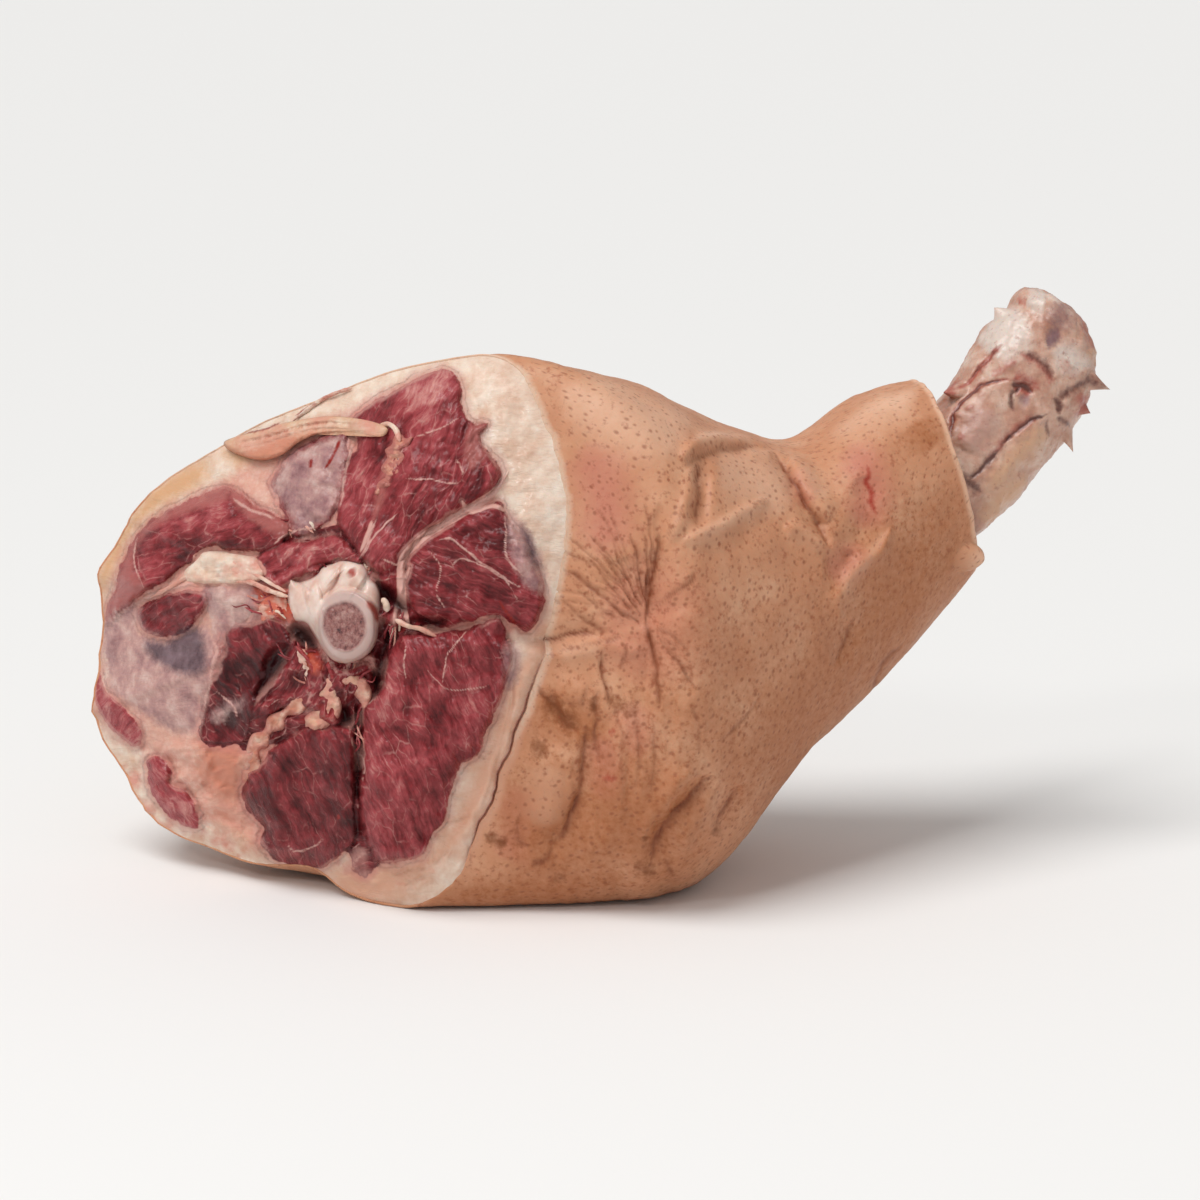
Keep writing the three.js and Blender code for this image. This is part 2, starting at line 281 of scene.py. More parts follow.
def depth_line(section):
    """Direction through the section's depth: its turn about the vertical and its dip, in degrees."""
    turn, dip = np.radians([section["turn"], section["dip"]])
    return np.array([-np.sin(turn) * np.cos(dip), np.cos(turn) * np.cos(dip), np.sin(dip)])


def height_line(section):
    """Direction of the section's height: upright, leaning towards +X and +Y by its two angles."""
    return unit(np.array([*np.sin(np.radians(section["lean"])), 1.0]))


MIDDLES = [s["at"] for s in SECTIONS]
UPS = [height_line(s) * s["up"] for s in SECTIONS]
DOWNS = [-height_line(s) * s["down"] for s in SECTIONS]
NEARS = [-depth_line(s) * s["near"] for s in SECTIONS]
FARS = [depth_line(s) * s["far"] for s in SECTIONS]


def bells(around, table):
    """Sum of a table's bells, each with its middle and half width in degrees and its height."""
    middle, half, height = np.array(table).T
    away = (np.degrees(around)[..., None] - middle + 180) % 360 - 180
    return (height * bell(away, half)).sum(-1)


def leg_point(along, around, inset=0.0):
    """Middle + |cos|^squareness of the height line + |sin|^squareness of the depth line, less the inset."""
    swell = 1 + bells(around, RIM_LOBES) * np.clip(1 - along / LOBE_REACH, 0, None) ** 2
    up, down, close, far = (through(lines, along) for lines in (UPS, DOWNS, NEARS, FARS))
    point = through(MIDDLES, along)
    for line, share in (
        (np.where(np.cos(around)[..., None] > 0, up, down), np.cos(around)),
        (np.where(np.sin(around)[..., None] > 0, far, close), np.sin(around)),
    ):
        length = np.linalg.norm(line, axis=-1)
        reach = (length * swell - inset) / length * np.abs(share) ** SQUARENESS
        point = point + line * reach[..., None]
    return point


def rested(points):
    """Points kept above the floor: (z + soft)^2 / (4 soft) within a few millimetres of it."""
    height = points[..., 2]
    soft = REST_SOFTNESS
    bent = np.where(height < -soft, 0, (height + soft) ** 2 / (4 * soft))
    return np.concatenate([points[..., :2], np.where(height < soft, bent, height)[..., None]], -1)


# %% [markdown]
# ## Meshes from rings
# Every piece is a closed body made of rings of points, each joined to the next, with a fan to a pole at
# both ends. The volume under a body's faces is negative when they point inwards, and then they are turned
# round. Blender could recalculate the normals, but counting the volume is exact for a closed body.

# %% Closed bodies
def closed(first, rows, last):
    """Points, four-sided faces and fans of the rings in rows, closed by one point at each end."""
    count, around = rows.shape[:2]
    points = np.vstack([rows.reshape(count * around, -1), first, last])
    row, column = np.mgrid[0 : count - 1, 0:around]
    ahead = (column + 1) % around
    below, above = row * around, (row + 1) * around
    quads = np.stack([below + column, below + ahead, above + ahead, above + column], -1).reshape(-1, 4)
    ring = np.arange(around)
    after = (ring + 1) % around
    pole = np.full(around, count * around)
    end = (count - 1) * around
    fans = np.vstack([np.stack([after, ring, pole], -1), np.stack([end + ring, end + after, pole + 1], -1)])
    return points, quads, fans


def volume(points, quads, fans):
    """Six times the volume inside the faces: the sum of a . (b x c) over their triangles."""
    corners = points[np.vstack([quads[:, [0, 1, 2]], quads[:, [0, 2, 3]], fans])]
    return np.einsum("ij,ij->", corners[:, 0], np.cross(corners[:, 1], corners[:, 2]))


def make(name, bodies, material, stands_for, values, grain=None, hidden=None, normals=None):
    """One mesh object from closed bodies, in metres. Where a normal is 0, Blender works it out."""
    points, faces, start = [], [], 0
    for body, quads, fans in bodies:
        turned = -1 if volume(body, quads, fans) < 0 else 1
        faces += (quads[:, ::turned] + start).tolist() + (fans[:, ::turned] + start).tolist()
        points.append(body)
        start += len(body)
    mesh = bpy.data.meshes.new(name)
    mesh.from_pydata(((np.vstack(points) + TO_FRAME) * MM).tolist(), [], faces)
    corner = np.empty(len(mesh.loops), int)
    mesh.loops.foreach_get("vertex_index", corner)
    rounded = np.ones(len(faces), bool)
    if hidden is not None:
        rounded = np.array([not hidden[face].any() for face in faces])
    mesh.polygons.foreach_set("use_smooth", rounded)
    if normals is not None:
        mesh.normals_split_custom_set_from_vertices(normals.tolist())
    for key, value in values.items():
        mesh.attributes.new(key, "FLOAT", "POINT").data.foreach_set("value", value.astype(np.float32))
    if grain is not None:
        mesh.uv_layers.new(name="grain").data.foreach_set("uv", grain[corner].astype(np.float32).ravel())
    mesh.materials.append(material)
    piece = bpy.data.objects.new(name, mesh)
    bpy.context.scene.collection.objects.link(piece)
    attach(piece, "root")
    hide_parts(*stands_for)
    print(f"{name}: {start} points, {sum(len(face) - 2 for face in faces)} triangles")


# %% [markdown]
# ## Materials
# Nodes are added by one small function. Its inputs are numbers, colours, or the output of another node, and
# a colour ramp also takes stops. Colours are given as hex values as a painter would pick them on a screen,
# and turned to the linear light that the renderer adds up.

# %% Nodes and colours
def linear(code):
    """Hex sRGB to linear light: c / 12.92 below 0.04045, ((c + 0.055) / 1.055) ^ 2.4 above."""
    parts = [int(code[i : i + 2], 16) / 255 for i in (0, 2, 4)]
    return (*(c / 12.92 if c < 0.04045 else ((c + 0.055) / 1.055) ** 2.4 for c in parts), 1.0)


def add(tree, kind, output=0, inputs=None, stops=(), **settings):
    """Adds a node, sets and links it, and returns one of its outputs."""
    made = tree.nodes.new("ShaderNode" + kind)
    for key, value in settings.items():
        setattr(made, key, value)
    for key, value in (inputs or {}).items():
        if isinstance(value, bpy.types.NodeSocket):
            tree.links.new(value, made.inputs[key])
        else:
            made.inputs[key].default_value = linear(value) if isinstance(value, str) else value
    for i, (place, code) in enumerate(stops):
        stop = made.color_ramp.elements[i] if i < 2 else made.color_ramp.elements.new(place)
        stop.position = place
        stop.color = linear(code)
    return made.outputs[output]


def surface(name, **settings):
    """A new material, its node tree and its Principled shader with the given socket values."""
    material = bpy.data.materials.new(name)
    material.use_nodes = True
    shader = material.node_tree.nodes["Principled BSDF"]
    for key, value in settings.items():
        shader.inputs[key.replace("_", " ")].default_value = value
    print("material:", name)
    return material, material.node_tree, shader


def noise(tree, place, size, detail, rough=0.5, output=0):
    """Fractal noise whose broadest hills have this size, in the units of place."""
    inputs = {"Vector": place, "Scale": 1 / size, "Detail": detail, "Roughness": rough}
    return add(tree, "TexNoise", output, inputs)


def stretched(tree, value, low, high, least=0.0, most=1.0):
    """A value from low to high, stretched to least to most and cut off there."""
    return add(tree, "MapRange", inputs={0: value, 1: low, 2: high, 3: least, 4: most})


def worked_out(tree, operation, *numbers):
    """One step of arithmetic, such as MULTIPLY_ADD for a * b + c. With a tuple it is done by axis."""
    kind = "VectorMath" if any(isinstance(number, tuple) for number in numbers) else "Math"
    return add(tree, kind, inputs=dict(enumerate(numbers)), operation=operation)


def over(tree, base, share, colour):
    """A base colour with a share of another colour laid over it."""
    return add(tree, "Mix", 2, {0: share, 6: base, 7: colour}, data_type="RGBA")


def paint(tree, base, ragged, layers):
    """Lays colours over a base: each where its attribute, roughened by noise, passes from low to high."""
    for attribute, low, high, rough, colour, *most in layers:
        value = add(tree, "Attribute", 2, attribute_name=attribute)
        moved = worked_out(tree, "MULTIPLY_ADD", ragged, rough, value)
        base = over(tree, base, stretched(tree, moved, low, high, 0.0, *most), colour)
    return base


def relief(tree, shader, *layers):
    """Bumps on top of each other: strength, depth in millimetres, pattern, and whether it goes inwards."""
    under = {}
    for strength, deep, pattern, inwards in layers:
        inputs = {"Strength": strength, "Distance": deep * MM, "Height": pattern, **under}
        under = {"Normal": add(tree, "Bump", inputs=inputs, invert=inwards)}
    tree.links.new(under["Normal"], shader.inputs["Normal"])


# %% [markdown]
# ### Rind
# Scalded and scraped pig skin: pale tan with a pink bloom where blood lies under it and brown where the
# scraper left it drier. The same brown laid broadly over the lower side and middle is painted shade, and
# the paler patches on the upper side and along ridges and rolls are painted highlights. The bristles leave
# brown pores about 5 mm apart. They could be modelled, but dots of colour with a shallow pit do it for
# thousands. A flat Voronoi pattern gives them, on a map of the skin in millimetres round and along the leg:
# each cell has one centre, and what is near to it is a pore. The skin is matt, with a faint damp sheen.

# %% Rind material: the skin's colours, with painted shade and highlights
MOTTLE = 24 * MM
SKIN_GRAIN = 2.2 * MM

rind_skin, tree, shader = surface(
    "scalded pig rind", Roughness=0.52, Subsurface_Weight=0.1, Subsurface_Scale=0.002,
    Coat_Weight=0.06, Coat_Roughness=0.35, Specular_IOR_Level=0.3,
)
place = add(tree, "TexCoord", 3)
broad = noise(tree, place, MOTTLE, 5, 0.62)
fine = noise(tree, place, MOTTLE / 7, 4, 0.6)
skin = add(tree, "ValToRGB", inputs={0: broad}, stops=[
    (0.30, "BD8260"), (0.72, "D3A07F"), (0.45, "C48966"), (0.58, "CA9270"),
])
skin = over(tree, skin, stretched(tree, fine, 0.53, 0.72, 0.0, 0.5), "B27655")
ragged = worked_out(tree, "SUBTRACT", fine, 0.5)
skin = paint(tree, skin, ragged, [
    ("bloom", 0.1, 1.5, 1.2, "C07862"),
    # drier brown skin, with painted shade over the lower side and the middle
    ("dry", 0.1, 1.4, 1.6, "A5633A"),
    # pale: painted highlights on ridges, rolls and the upper side, partly paler skin
    ("pale", 0.1, 1.5, 0.8, "DDB093"),
    ("cream", -2.5, 3.0, 5.0, "E2C9B2"),
])

# %% Rind material: pores, creases with painted shade, and dark marks over them
PORE_SPACING = 5.6                  # millimetres on the map
PORE_RADIUS = 0.8
MEAN_PORE = 1.55                    # what the varied sizes come to on average
PORE_BLUR = 0.09                    # in shares of the spacing

cell_place = worked_out(tree, "MULTIPLY", add(tree, "UVMap", uv_map="grain"), (1 / PORE_SPACING,) * 3)
cells = {"Vector": cell_place, "Scale": 1, "Randomness": 0.8}
pore, own = (add(tree, "TexVoronoi", output, cells, voronoi_dimensions="2D") for output in (0, 1))
here = add(tree, "Attribute", 2, attribute_name="pores")
size = worked_out(tree, "MULTIPLY_ADD", broad, 1.1, here)
size = worked_out(tree, "MULTIPLY", size, stretched(tree, own, 0.2, 0.8, 0.45, 1.25))
size = worked_out(tree, "MULTIPLY", size, PORE_RADIUS / PORE_SPACING / MEAN_PORE)
dot = stretched(tree, worked_out(tree, "SUBTRACT", size, pore), -PORE_BLUR, PORE_BLUR, 0.0, 0.55)
skin = paint(tree, over(tree, skin, dot, "83452A"), ragged, [
    # brown in the creases: partly the fold's own colour, partly painted shade
    ("crease", 0.06, 1.0, 0.5, "773717"),
    # dark brown spots and cracks
    ("dirt", 0.15, 1.4, 2.4, "7C431F", 0.8),
    ("sore", 0.2, 1.4, 1.8, "A23E2C"),
])
tree.links.new(skin, shader.inputs["Base Color"])
relief(tree, shader, (0.3, 0.6, noise(tree, place, SKIN_GRAIN, 3), False), (0.35, 0.5, dot, True))

# %% [markdown]
# ### Lean and fat at the cut
# Raw pork lean is wet and dark wine red where it has dried, with fibres that run along each muscle, pale
# threads of fat between them and silver skin on some of them. The fat round it is cream, pink where blood
# has soaked in, waxy and duller. One material for each would show a line at their joint, so one does all of
# it, on both pieces: the fibres follow the map "grain", in millimetres along and across them, and the rest
# is painted in layers by depth.

# %% Cut face material: lean
FIBRES = (9.0, 1.6, 5)              # millimetres along and across a fibre, and detail
STRANDS = (22, 6, 4)
BUNDLE = (13.0, 5.5)                # millimetres along and across a bundle of fibres

cut_meat, tree, shader = surface(
    "raw pork lean and fat", Subsurface_Weight=0.06, Subsurface_Scale=0.002,
    Coat_Weight=0.18, Coat_Roughness=0.12, Specular_IOR_Level=0.18,
)
place = add(tree, "TexCoord", 3)
push = noise(tree, place, 7 * MM, 3, output=1)
warped = worked_out(tree, "MULTIPLY_ADD", push, (5, 3, 0), add(tree, "UVMap", uv_map="grain"))
fibre, strands = (
    noise(tree, worked_out(tree, "MULTIPLY", warped, (1 / length, 1 / width, 1)), 1, detail, 0.65)
    for length, width, detail in (FIBRES, STRANDS)
)
broad = noise(tree, place, 14 * MM, 5, 0.65)
# The tone holds the lean's own lighter and darker places, and painted light and shade that follow the relief.
tone = add(tree, "Attribute", 2, attribute_name="tone")
for pattern, weight in ((fibre, 0.44), (strands, 0.48), (broad, 0.42)):
    tone = worked_out(tree, "MULTIPLY_ADD", pattern, weight, tone)
meat = add(tree, "ValToRGB", inputs={0: stretched(tree, tone, 0.34, 1.01)}, stops=[
    (0.08, "3A090C"), (0.95, "C78880"), (0.3, "5C1418"), (0.5, "812A2E"), (0.68, "9F4347"),
])
cells = {"Vector": worked_out(tree, "MULTIPLY", warped, (1 / BUNDLE[0], 1 / BUNDLE[1], 1)), "Scale": 1}
bundle_edge = add(tree, "TexVoronoi", 0, cells, voronoi_dimensions="2D", feature="DISTANCE_TO_EDGE")
thin = stretched(tree, bundle_edge, 0.06, 0.01)
some = stretched(tree, broad, 0.46, 0.62, 0.0, 0.45)
meat = over(tree, meat, worked_out(tree, "MULTIPLY", thin, some), "C48C84")

# %% Cut face material: silver skin, fat and all the layers
veil = noise(tree, place, 11 * MM, 6, 0.62)
silver = add(tree, "ValToRGB", inputs={0: veil}, stops=[
    (0.3, "845D5F"), (0.68, "D0B2AA"), (0.42, "A37B7A"), (0.54, "BB938C"),
])
blue = add(tree, "ValToRGB", inputs={0: veil}, stops=[(0.32, "3B272E"), (0.68, "78616A")])
fat = add(tree, "ValToRGB", inputs={0: broad}, stops=[(0.3, "D0A890"), (0.68, "E8D8C8"), (0.5, "DEC3AF")])
ragged = worked_out(tree, "SUBTRACT", noise(tree, place, 4 * MM, 4, 0.7), 0.5)
colour = paint(tree, fat, ragged, [
    ("tan", -5.0, 5.0, 9.0, "CE9F78"),
    ("warm", -6.0, 6.0, 8.0, "D39C80", 0.8),
    ("pink", -4.0, 4.0, 9.0, "CF8C7C", 0.85),
    ("orange", -4.0, 5.0, 8.0, "C47A60", 0.8),
    ("lean", -5.0, 0.0, 4.0, "B9706A", 0.6),
    ("lean", -0.3, 0.3, 2.0, meat),
    ("rim", 0.2, 1.0, 1.0, "C08A80", 0.7),
    ("rosy", -1.5, 2.0, 5.0, "A8605A", 0.8),
    ("silver", -2.0, 3.0, 9.0, silver, 0.88),
    ("blue", -2.0, 3.0, 6.0, blue, 0.9),
    ("tissue", 0.25, 0.85, 1.6, "CFA196", 0.8),
    ("ember", -2.0, 3.0, 7.0, "C6543A", 0.8),
    ("blood", 0.3, 0.9, 1.2, "8A1F17"),
    # painted shade: near black in the hollows and crevices
    ("dark", -1.5, 3.0, 3.0, "24070A", 0.9),
])
tree.links.new(colour, shader.inputs["Base Color"])
wet = stretched(tree, add(tree, "Attribute", 2, attribute_name="lean"), -0.5, 0.5, 0.5, 0.36)
tree.links.new(wet, shader.inputs["Roughness"])
relief(tree, shader, (0.7, 0.9, fibre, False), (0.5, 1.0, veil, False))

# %% [markdown]
# ### Bone
# Sawn bone is ivory with a damp shine, and its marrow is a grey pink sponge. Holes could be cut for the
# sponge, but at this size noise with strong contrast and a little relief reads the same.

# %% Bone material
fresh_bone, tree, shader = surface(
    "sawn fresh bone", Roughness=0.38, Subsurface_Weight=0.2, Subsurface_Scale=0.002,
    Coat_Weight=0.3, Coat_Roughness=0.2,
)
place = add(tree, "TexCoord", 3)
broad = noise(tree, place, 9 * MM, 4)
sponge = noise(tree, place, 3.4 * MM, 6, 0.75)
ivory = add(tree, "ValToRGB", inputs={0: broad}, stops=[(0.3, "D2A998"), (0.6, "E5CFC2")])
marrow = add(tree, "ValToRGB", inputs={0: sponge}, stops=[
    (0.32, "3E1A1C"), (0.66, "AE857C"), (0.46, "86504B"),
])
colour = paint(tree, ivory, worked_out(tree, "SUBTRACT", broad, 0.5), [
    ("cut", -0.5, 1.0, 0.6, "C2A49C", 0.9),
    ("marrow", -1.0, 1.0, 2.0, marrow),
    ("raw", 0.2, 0.9, 1.2, "A04438"),
])
tree.links.new(colour, shader.inputs["Base Color"])
relief(tree, shader, (0.3, 0.6, sponge, False))

# %% [markdown]
# ### Sinew
# The sinew and fat round the hock are pinkish cream, drier and yellower towards the edges, with purple
# bruises and brown cuts. As on the rind, the marks are painted by attributes, so that colour and groove
# always meet.

# %% Sinew and fat material
sinew_skin, tree, shader = surface(
    "sinew and fat over bone", Roughness=0.42, Subsurface_Weight=0.15, Subsurface_Scale=0.002,
    Coat_Weight=0.25, Coat_Roughness=0.25,
)
place = add(tree, "TexCoord", 3)
fine = noise(tree, place, 3 * MM, 4, 0.65)
cream = add(tree, "ValToRGB", inputs={0: noise(tree, place, 16 * MM, 5, 0.6)}, stops=[
    (0.3, "A8745E"), (0.68, "D8BFAF"), (0.45, "BC8E79"), (0.56, "CCA692"),
])
colour = paint(tree, cream, worked_out(tree, "SUBTRACT", fine, 0.5), [
    # pale sinew, with a painted highlight at the upper left
    ("pale", 0.1, 1.2, 1.0, "D3C1B5"),
    ("tan", 0.1, 1.2, 1.2, "CC9E7E"),
    # painted sheen: a grey white shine on raised parts of the hock
    ("grey", 0.1, 1.2, 1.2, "B98F80"),
    ("bruise", 0.1, 1.2, 1.2, "74525A", 0.85),
    ("raw", 0.05, 0.9, 1.2, "A24838", 0.85),
    ("brown", 0.1, 1.0, 1.2, "5A2A20", 0.9),
])
tree.links.new(colour, shader.inputs["Base Color"])
relief(tree, shader, (0.4, 0.7, fine, False))

# %% [markdown]
# ## Rind
# The rind is the leg's outer surface from the cut to its open end round the hock. Its grid is about a
# millimetre fine on the near side, where creases are carved into it, and coarser behind. Creases could be
# bumps in the material, but carved ones cast shadows. They are grooves with raised shoulders, because skin
# that is pushed together bulges beside the fold.

# %% Creases of the rind
# Folds: half width and depth in millimetres, and where they run in the picture. A negative depth is a ridge.
FOLDS = [
    (6, 3.5, [(661, 505), (660, 550), (654, 605), (654, 650), (657, 700)]),
    (14, 3.5, [(620, 560), (645, 600), (655, 630)]),
    (5.5, -6, [(680, 457), (696, 447), (724, 438), (756, 434), (796, 438)]),
    (3.4, 2.8, [(686, 466), (704, 457), (734, 449), (776, 449)]),
    (4, 4, [(704, 462), (700, 490), (700, 526)]),
    (3.5, -2.4, [(690, 466), (687, 495), (680, 520), (668, 546)]),
    (4, -3.4, [(684, 544), (712, 530), (740, 516), (768, 499)]),
    (6, 1.2, [(698, 556), (730, 544), (768, 520)]),
    (4.5, 4.5, [(772, 452), (790, 478), (808, 506), (832, 548)]),
    (6, -4, [(790, 458), (810, 488), (828, 522)]),
    (4, -3.6, [(782, 524), (806, 536), (830, 550)]),
    (8, 4, [(822, 562), (842, 566), (852, 548)]),
    (4.4, -3.2, [(888, 526), (881, 545), (866, 562), (850, 578), (843, 597), (841, 620)]),
    (7, 3.5, [(862, 476), (870, 505), (858, 534), (846, 556)]),
    (5, 3, [(852, 618), (846, 640), (834, 664)]),
    (5, 3.8, [(528, 636), (556, 639), (580, 634), (606, 633)]),
    (5, -2.8, [(540, 654), (570, 652), (604, 646), (640, 652)]),
    (6, -2.5, [(560, 700), (570, 690), (584, 696)]),
    (6.5, 4.2, [(588, 728), (586, 764), (578, 806), (564, 836), (550, 856)]),
    (8, -3, [(556, 742), (552, 790), (540, 830)]),
    (7, -3.2, [(622, 716), (616, 770), (606, 830), (590, 856)]),
    (6, 5, [(714, 772), (690, 797), (668, 822), (657, 842), (654, 866)]),
    (7, -3.5, [(694, 770), (666, 800), (640, 834)]),
    (5.5, -3, [(716, 792), (694, 820), (680, 850)]),
    (5, 3.4, [(740, 788), (726, 808), (714, 830)]),
    (2.6, 1.4, [(536, 682), (552, 706), (568, 722), (586, 732)]),
    (3, 1.8, [(597, 690), (597, 730), (598, 766)]),
    (3, 1.6, [(604, 648), (606, 682), (615, 712)]),
    (3.4, 1.6, [(662, 638), (680, 664), (698, 692)]),
    (3, 1.5, [(484, 834), (506, 846), (528, 850)]),
]
# Creases: half width, depth, how brown (partly the fold's own colour, partly painted shade), and path.
CREASES = [
    (1.5, 2.2, 1, [(663, 528), (661, 550), (657, 576), (653, 600), (651, 622)]),
    (1.4, 1.8, 0.8, [(656, 536), (655, 560), (652, 584), (650, 606)]),
    (1.4, 1.8, 1, [(650, 612), (653, 636), (658, 660), (660, 684), (658, 712)]),
    (1.2, 1.5, 0.8, [(604, 553), (615, 568), (627, 592), (646, 617)]),
    (1.1, 1.3, 0.7, [(612, 536), (621, 562), (635, 586), (648, 610)]),
    (1.1, 1.3, 0.7, [(630, 532), (642, 564), (649, 600)]),
    (1.2, 1.5, 0.8, [(564, 569), (580, 578), (597, 594), (624, 613), (645, 622)]),
    (1.1, 1.3, 0.7, [(584, 556), (600, 574), (618, 596), (642, 616)]),
    (1.1, 1.3, 0.8, [(563, 604), (578, 613), (592, 622), (612, 632)]),
    (1, 1, 0.6, [(576, 588), (596, 606), (622, 620)]),
    (1, 1, 0.5, [(645, 500), (650, 520), (655, 545)]),
    (1, 1, 0.5, [(684, 506), (677, 520), (668, 538)]),
    (1.2, 1.3, 0.7, [(698, 570), (690, 581), (678, 590), (657, 608)]),
    (1.1, 1, 0.5, [(657, 628), (675, 637), (690, 650)]),
    (1.2, 1.2, 0.6, [(661, 638), (678, 662), (698, 690)]),
    (1.3, 1.6, 0.9, [(528, 637), (552, 640), (574, 634), (604, 632)]),
    (1.1, 1, 0.5, [(556, 650), (580, 648), (604, 640), (630, 636)]),
    (1.3, 1.4, 0.9, [(602, 648), (604, 680), (613, 706)]),
    (1.1, 1.1, 0.7, [(624, 644), (622, 670)]),
    (1.4, 1.4, 1, [(538, 684), (546, 698), (560, 712), (570, 726), (584, 730)]),
    (1.2, 1, 0.8, [(552, 694), (560, 710), (566, 732)]),
    (1.5, 1.8, 1, [(586, 722), (586, 750), (583, 776), (576, 806), (566, 832), (554, 850)]),
    (1.2, 1.1, 0.6, [(597, 688), (597, 730), (599, 764)]),
    (1.1, 0.9, 0.4, [(616, 700), (622, 740), (618, 780)]),
    (1.1, 0.9, 0.4, [(636, 704), (640, 750), (632, 800)]),
    (1.1, 0.9, 0.4, [(652, 716), (656, 760), (650, 796)]),
    (1.5, 1.6, 1, [(714, 772), (690, 797), (668, 822), (657, 842), (653, 864)]),
    (1.3, 1.2, 0.8, [(738, 790), (728, 806), (716, 824)]),
    (1.2, 1.1, 0.7, [(664, 858), (674, 876)]),
    (1.3, 1.3, 0.8, [(556, 852), (546, 862), (530, 867)]),
    (1.3, 1.6, 0.9, [(701, 459), (698, 476), (698, 496), (697, 524)]),
    (1.3, 1, 0.45, [(684, 463), (702, 456), (726, 449), (764, 447)]),
    (1.4, 1.4, 0.9, [(774, 452), (789, 474), (804, 498), (818, 524), (830, 548)]),
    (1.2, 1, 0.5, [(852, 616), (846, 640), (836, 662)]),
    (1.2, 1, 0.8, [(481, 832), (494, 841), (508, 846)]),
    (1.1, 1, 0.7, [(519, 810), (519, 838), (530, 850)]),
    (1.1, 1, 0.6, [(905, 640), (880, 668), (872, 700)]),
    (1, 0.8, 0.5, [(764, 690), (744, 720), (716, 742)]),
    (1, 0.8, 0.4, [(690, 700), (700, 730), (696, 760)]),
]
# Patches of colour by attribute: strength, half width in millimetres, and where they run.
PATCHES = {
    "bloom": [
        (1.3, 16, [(586, 440), (606, 500), (600, 560)]),
        (1.4, 12, [(850, 440), (872, 490), (860, 530)]),
        (1.3, 9, [(596, 730), (606, 770), (596, 800)]),
        (1.1, 12, [(500, 860), (520, 830), (510, 780)]),
        (1.1, 10, [(826, 572), (846, 564), (860, 540)]),
        (0.9, 30, [(600, 590), (650, 620), (640, 690)]),
        (0.9, 7, [(790, 470), (812, 506)]),
        (1, 10, [(630, 700), (640, 760)]),
    ],
    # Drier brown skin; the broad bands along the lower side and the wide patch over the middle are painted
    # shade.
    "dry": [
        (1, 34, [(960, 480), (900, 600), (800, 730), (720, 830)]),
        (1, 12, [(915, 420), (935, 450)]),
        (1.2, 14, [(536, 690), (566, 720), (612, 740)]),
        (1.1, 44, [(500, 860), (560, 830), (640, 820), (720, 840)]),
        (1.1, 12, [(640, 872), (560, 890), (420, 900)]),
        (0.5, 50, [(700, 600), (720, 700), (640, 760)]),
    ],
    # Painted highlights on the upper side, on the panel below the roll and along the tops of ridges and
    # rolls, partly the skin's paler colour.
    "pale": [
        (1.1, 18, [(560, 385), (640, 422), (690, 440)]),
        (0.9, 5, [(690, 446), (724, 436), (788, 434)]),
        (1.5, 14, [(810, 424), (870, 396), (920, 388)]),
        (0.9, 16, [(715, 480), (750, 478), (790, 510)]),
        (0.6, 7, [(800, 462), (826, 500)]),
        (0.7, 4, [(690, 538), (725, 523), (768, 499)]),
        (0.5, 3, [(886, 526), (866, 562), (850, 578), (842, 600)]),
        (0.6, 4, [(556, 654), (600, 648)]),
        (0.5, 12, [(552, 760), (540, 830)]),
    ],
    # Dark brown spots and cracks, mostly beside the creases.
    "dirt": [
        (1.3, 4, [(536, 738), (541, 758)]),
        (1.4, 3, [(484, 836), (508, 847)]),
        (1.5, 2, [(641, 836), (650, 842)]),
        (1.2, 3.5, [(632, 862), (656, 872)]),
        (1.2, 3, [(590, 696), (597, 714)]),
        (1, 3, [(554, 874), (566, 882)]),
        (1.3, 5, [(544, 696), (560, 714), (580, 728)]),
        (0.9, 5, [(606, 700), (640, 716)]),
        (1, 2.5, [(718, 822), (714, 836)]),
        (0.8, 2, [(752, 508), (766, 500)]),
    ],
    "sore": [
        (1.4, 1.5, [(866, 462), (869, 474), (866, 481), (872, 491), (872, 502), (879, 516)]),
        (0.9, 2.4, [(608, 731), (616, 734)]),
        (1, 1.8, [(600, 777), (616, 777)]),
    ],
}
PUCKER = np.array([653.0, 618.0])   # where the fan of fine wrinkles meets
WRINKLES = 22                       # in the fan from the left to the top
SHOULDER = 0.45                     # how high a crease's shoulders are, as a share of its depth
SHOULDER_WIDTH = 2.5                # in half widths of the crease
# Upright wrinkles at the lower left: the rows, and the columns, over which they come and go.
BAND_TOP = (640, 720)
BAND_LEFT = (490, 560)
BAND_RIGHT = (650, 730)
BAND_DEPTH = 1.6
print(len(FOLDS), "folds and", len(CREASES) + WRINKLES, "creases")


def fan_of_wrinkles():
    """Fine creases that spread from the pucker: half width, depth, how brown and path, drawn at random."""
    draw = np.random.default_rng(5)
    for spoke in np.radians(np.linspace(176, 84, WRINKLES)):
        turn = spoke + draw.uniform(-0.04, 0.04)
        reach = draw.uniform(70, 125) if turn > np.radians(110) else draw.uniform(60, 90)
        start = draw.uniform(0.1, 0.4)
        bend = draw.uniform(-0.05, 0.22)
        steps = np.linspace(start, 1, 5)
        angles = turn + bend * (steps - 0.5)
        path = PUCKER + reach * steps[:, None] * np.column_stack([np.cos(angles), -np.sin(angles)])
        yield 0.95, draw.uniform(0.6, 1.2), draw.uniform(0.25, 0.65), path


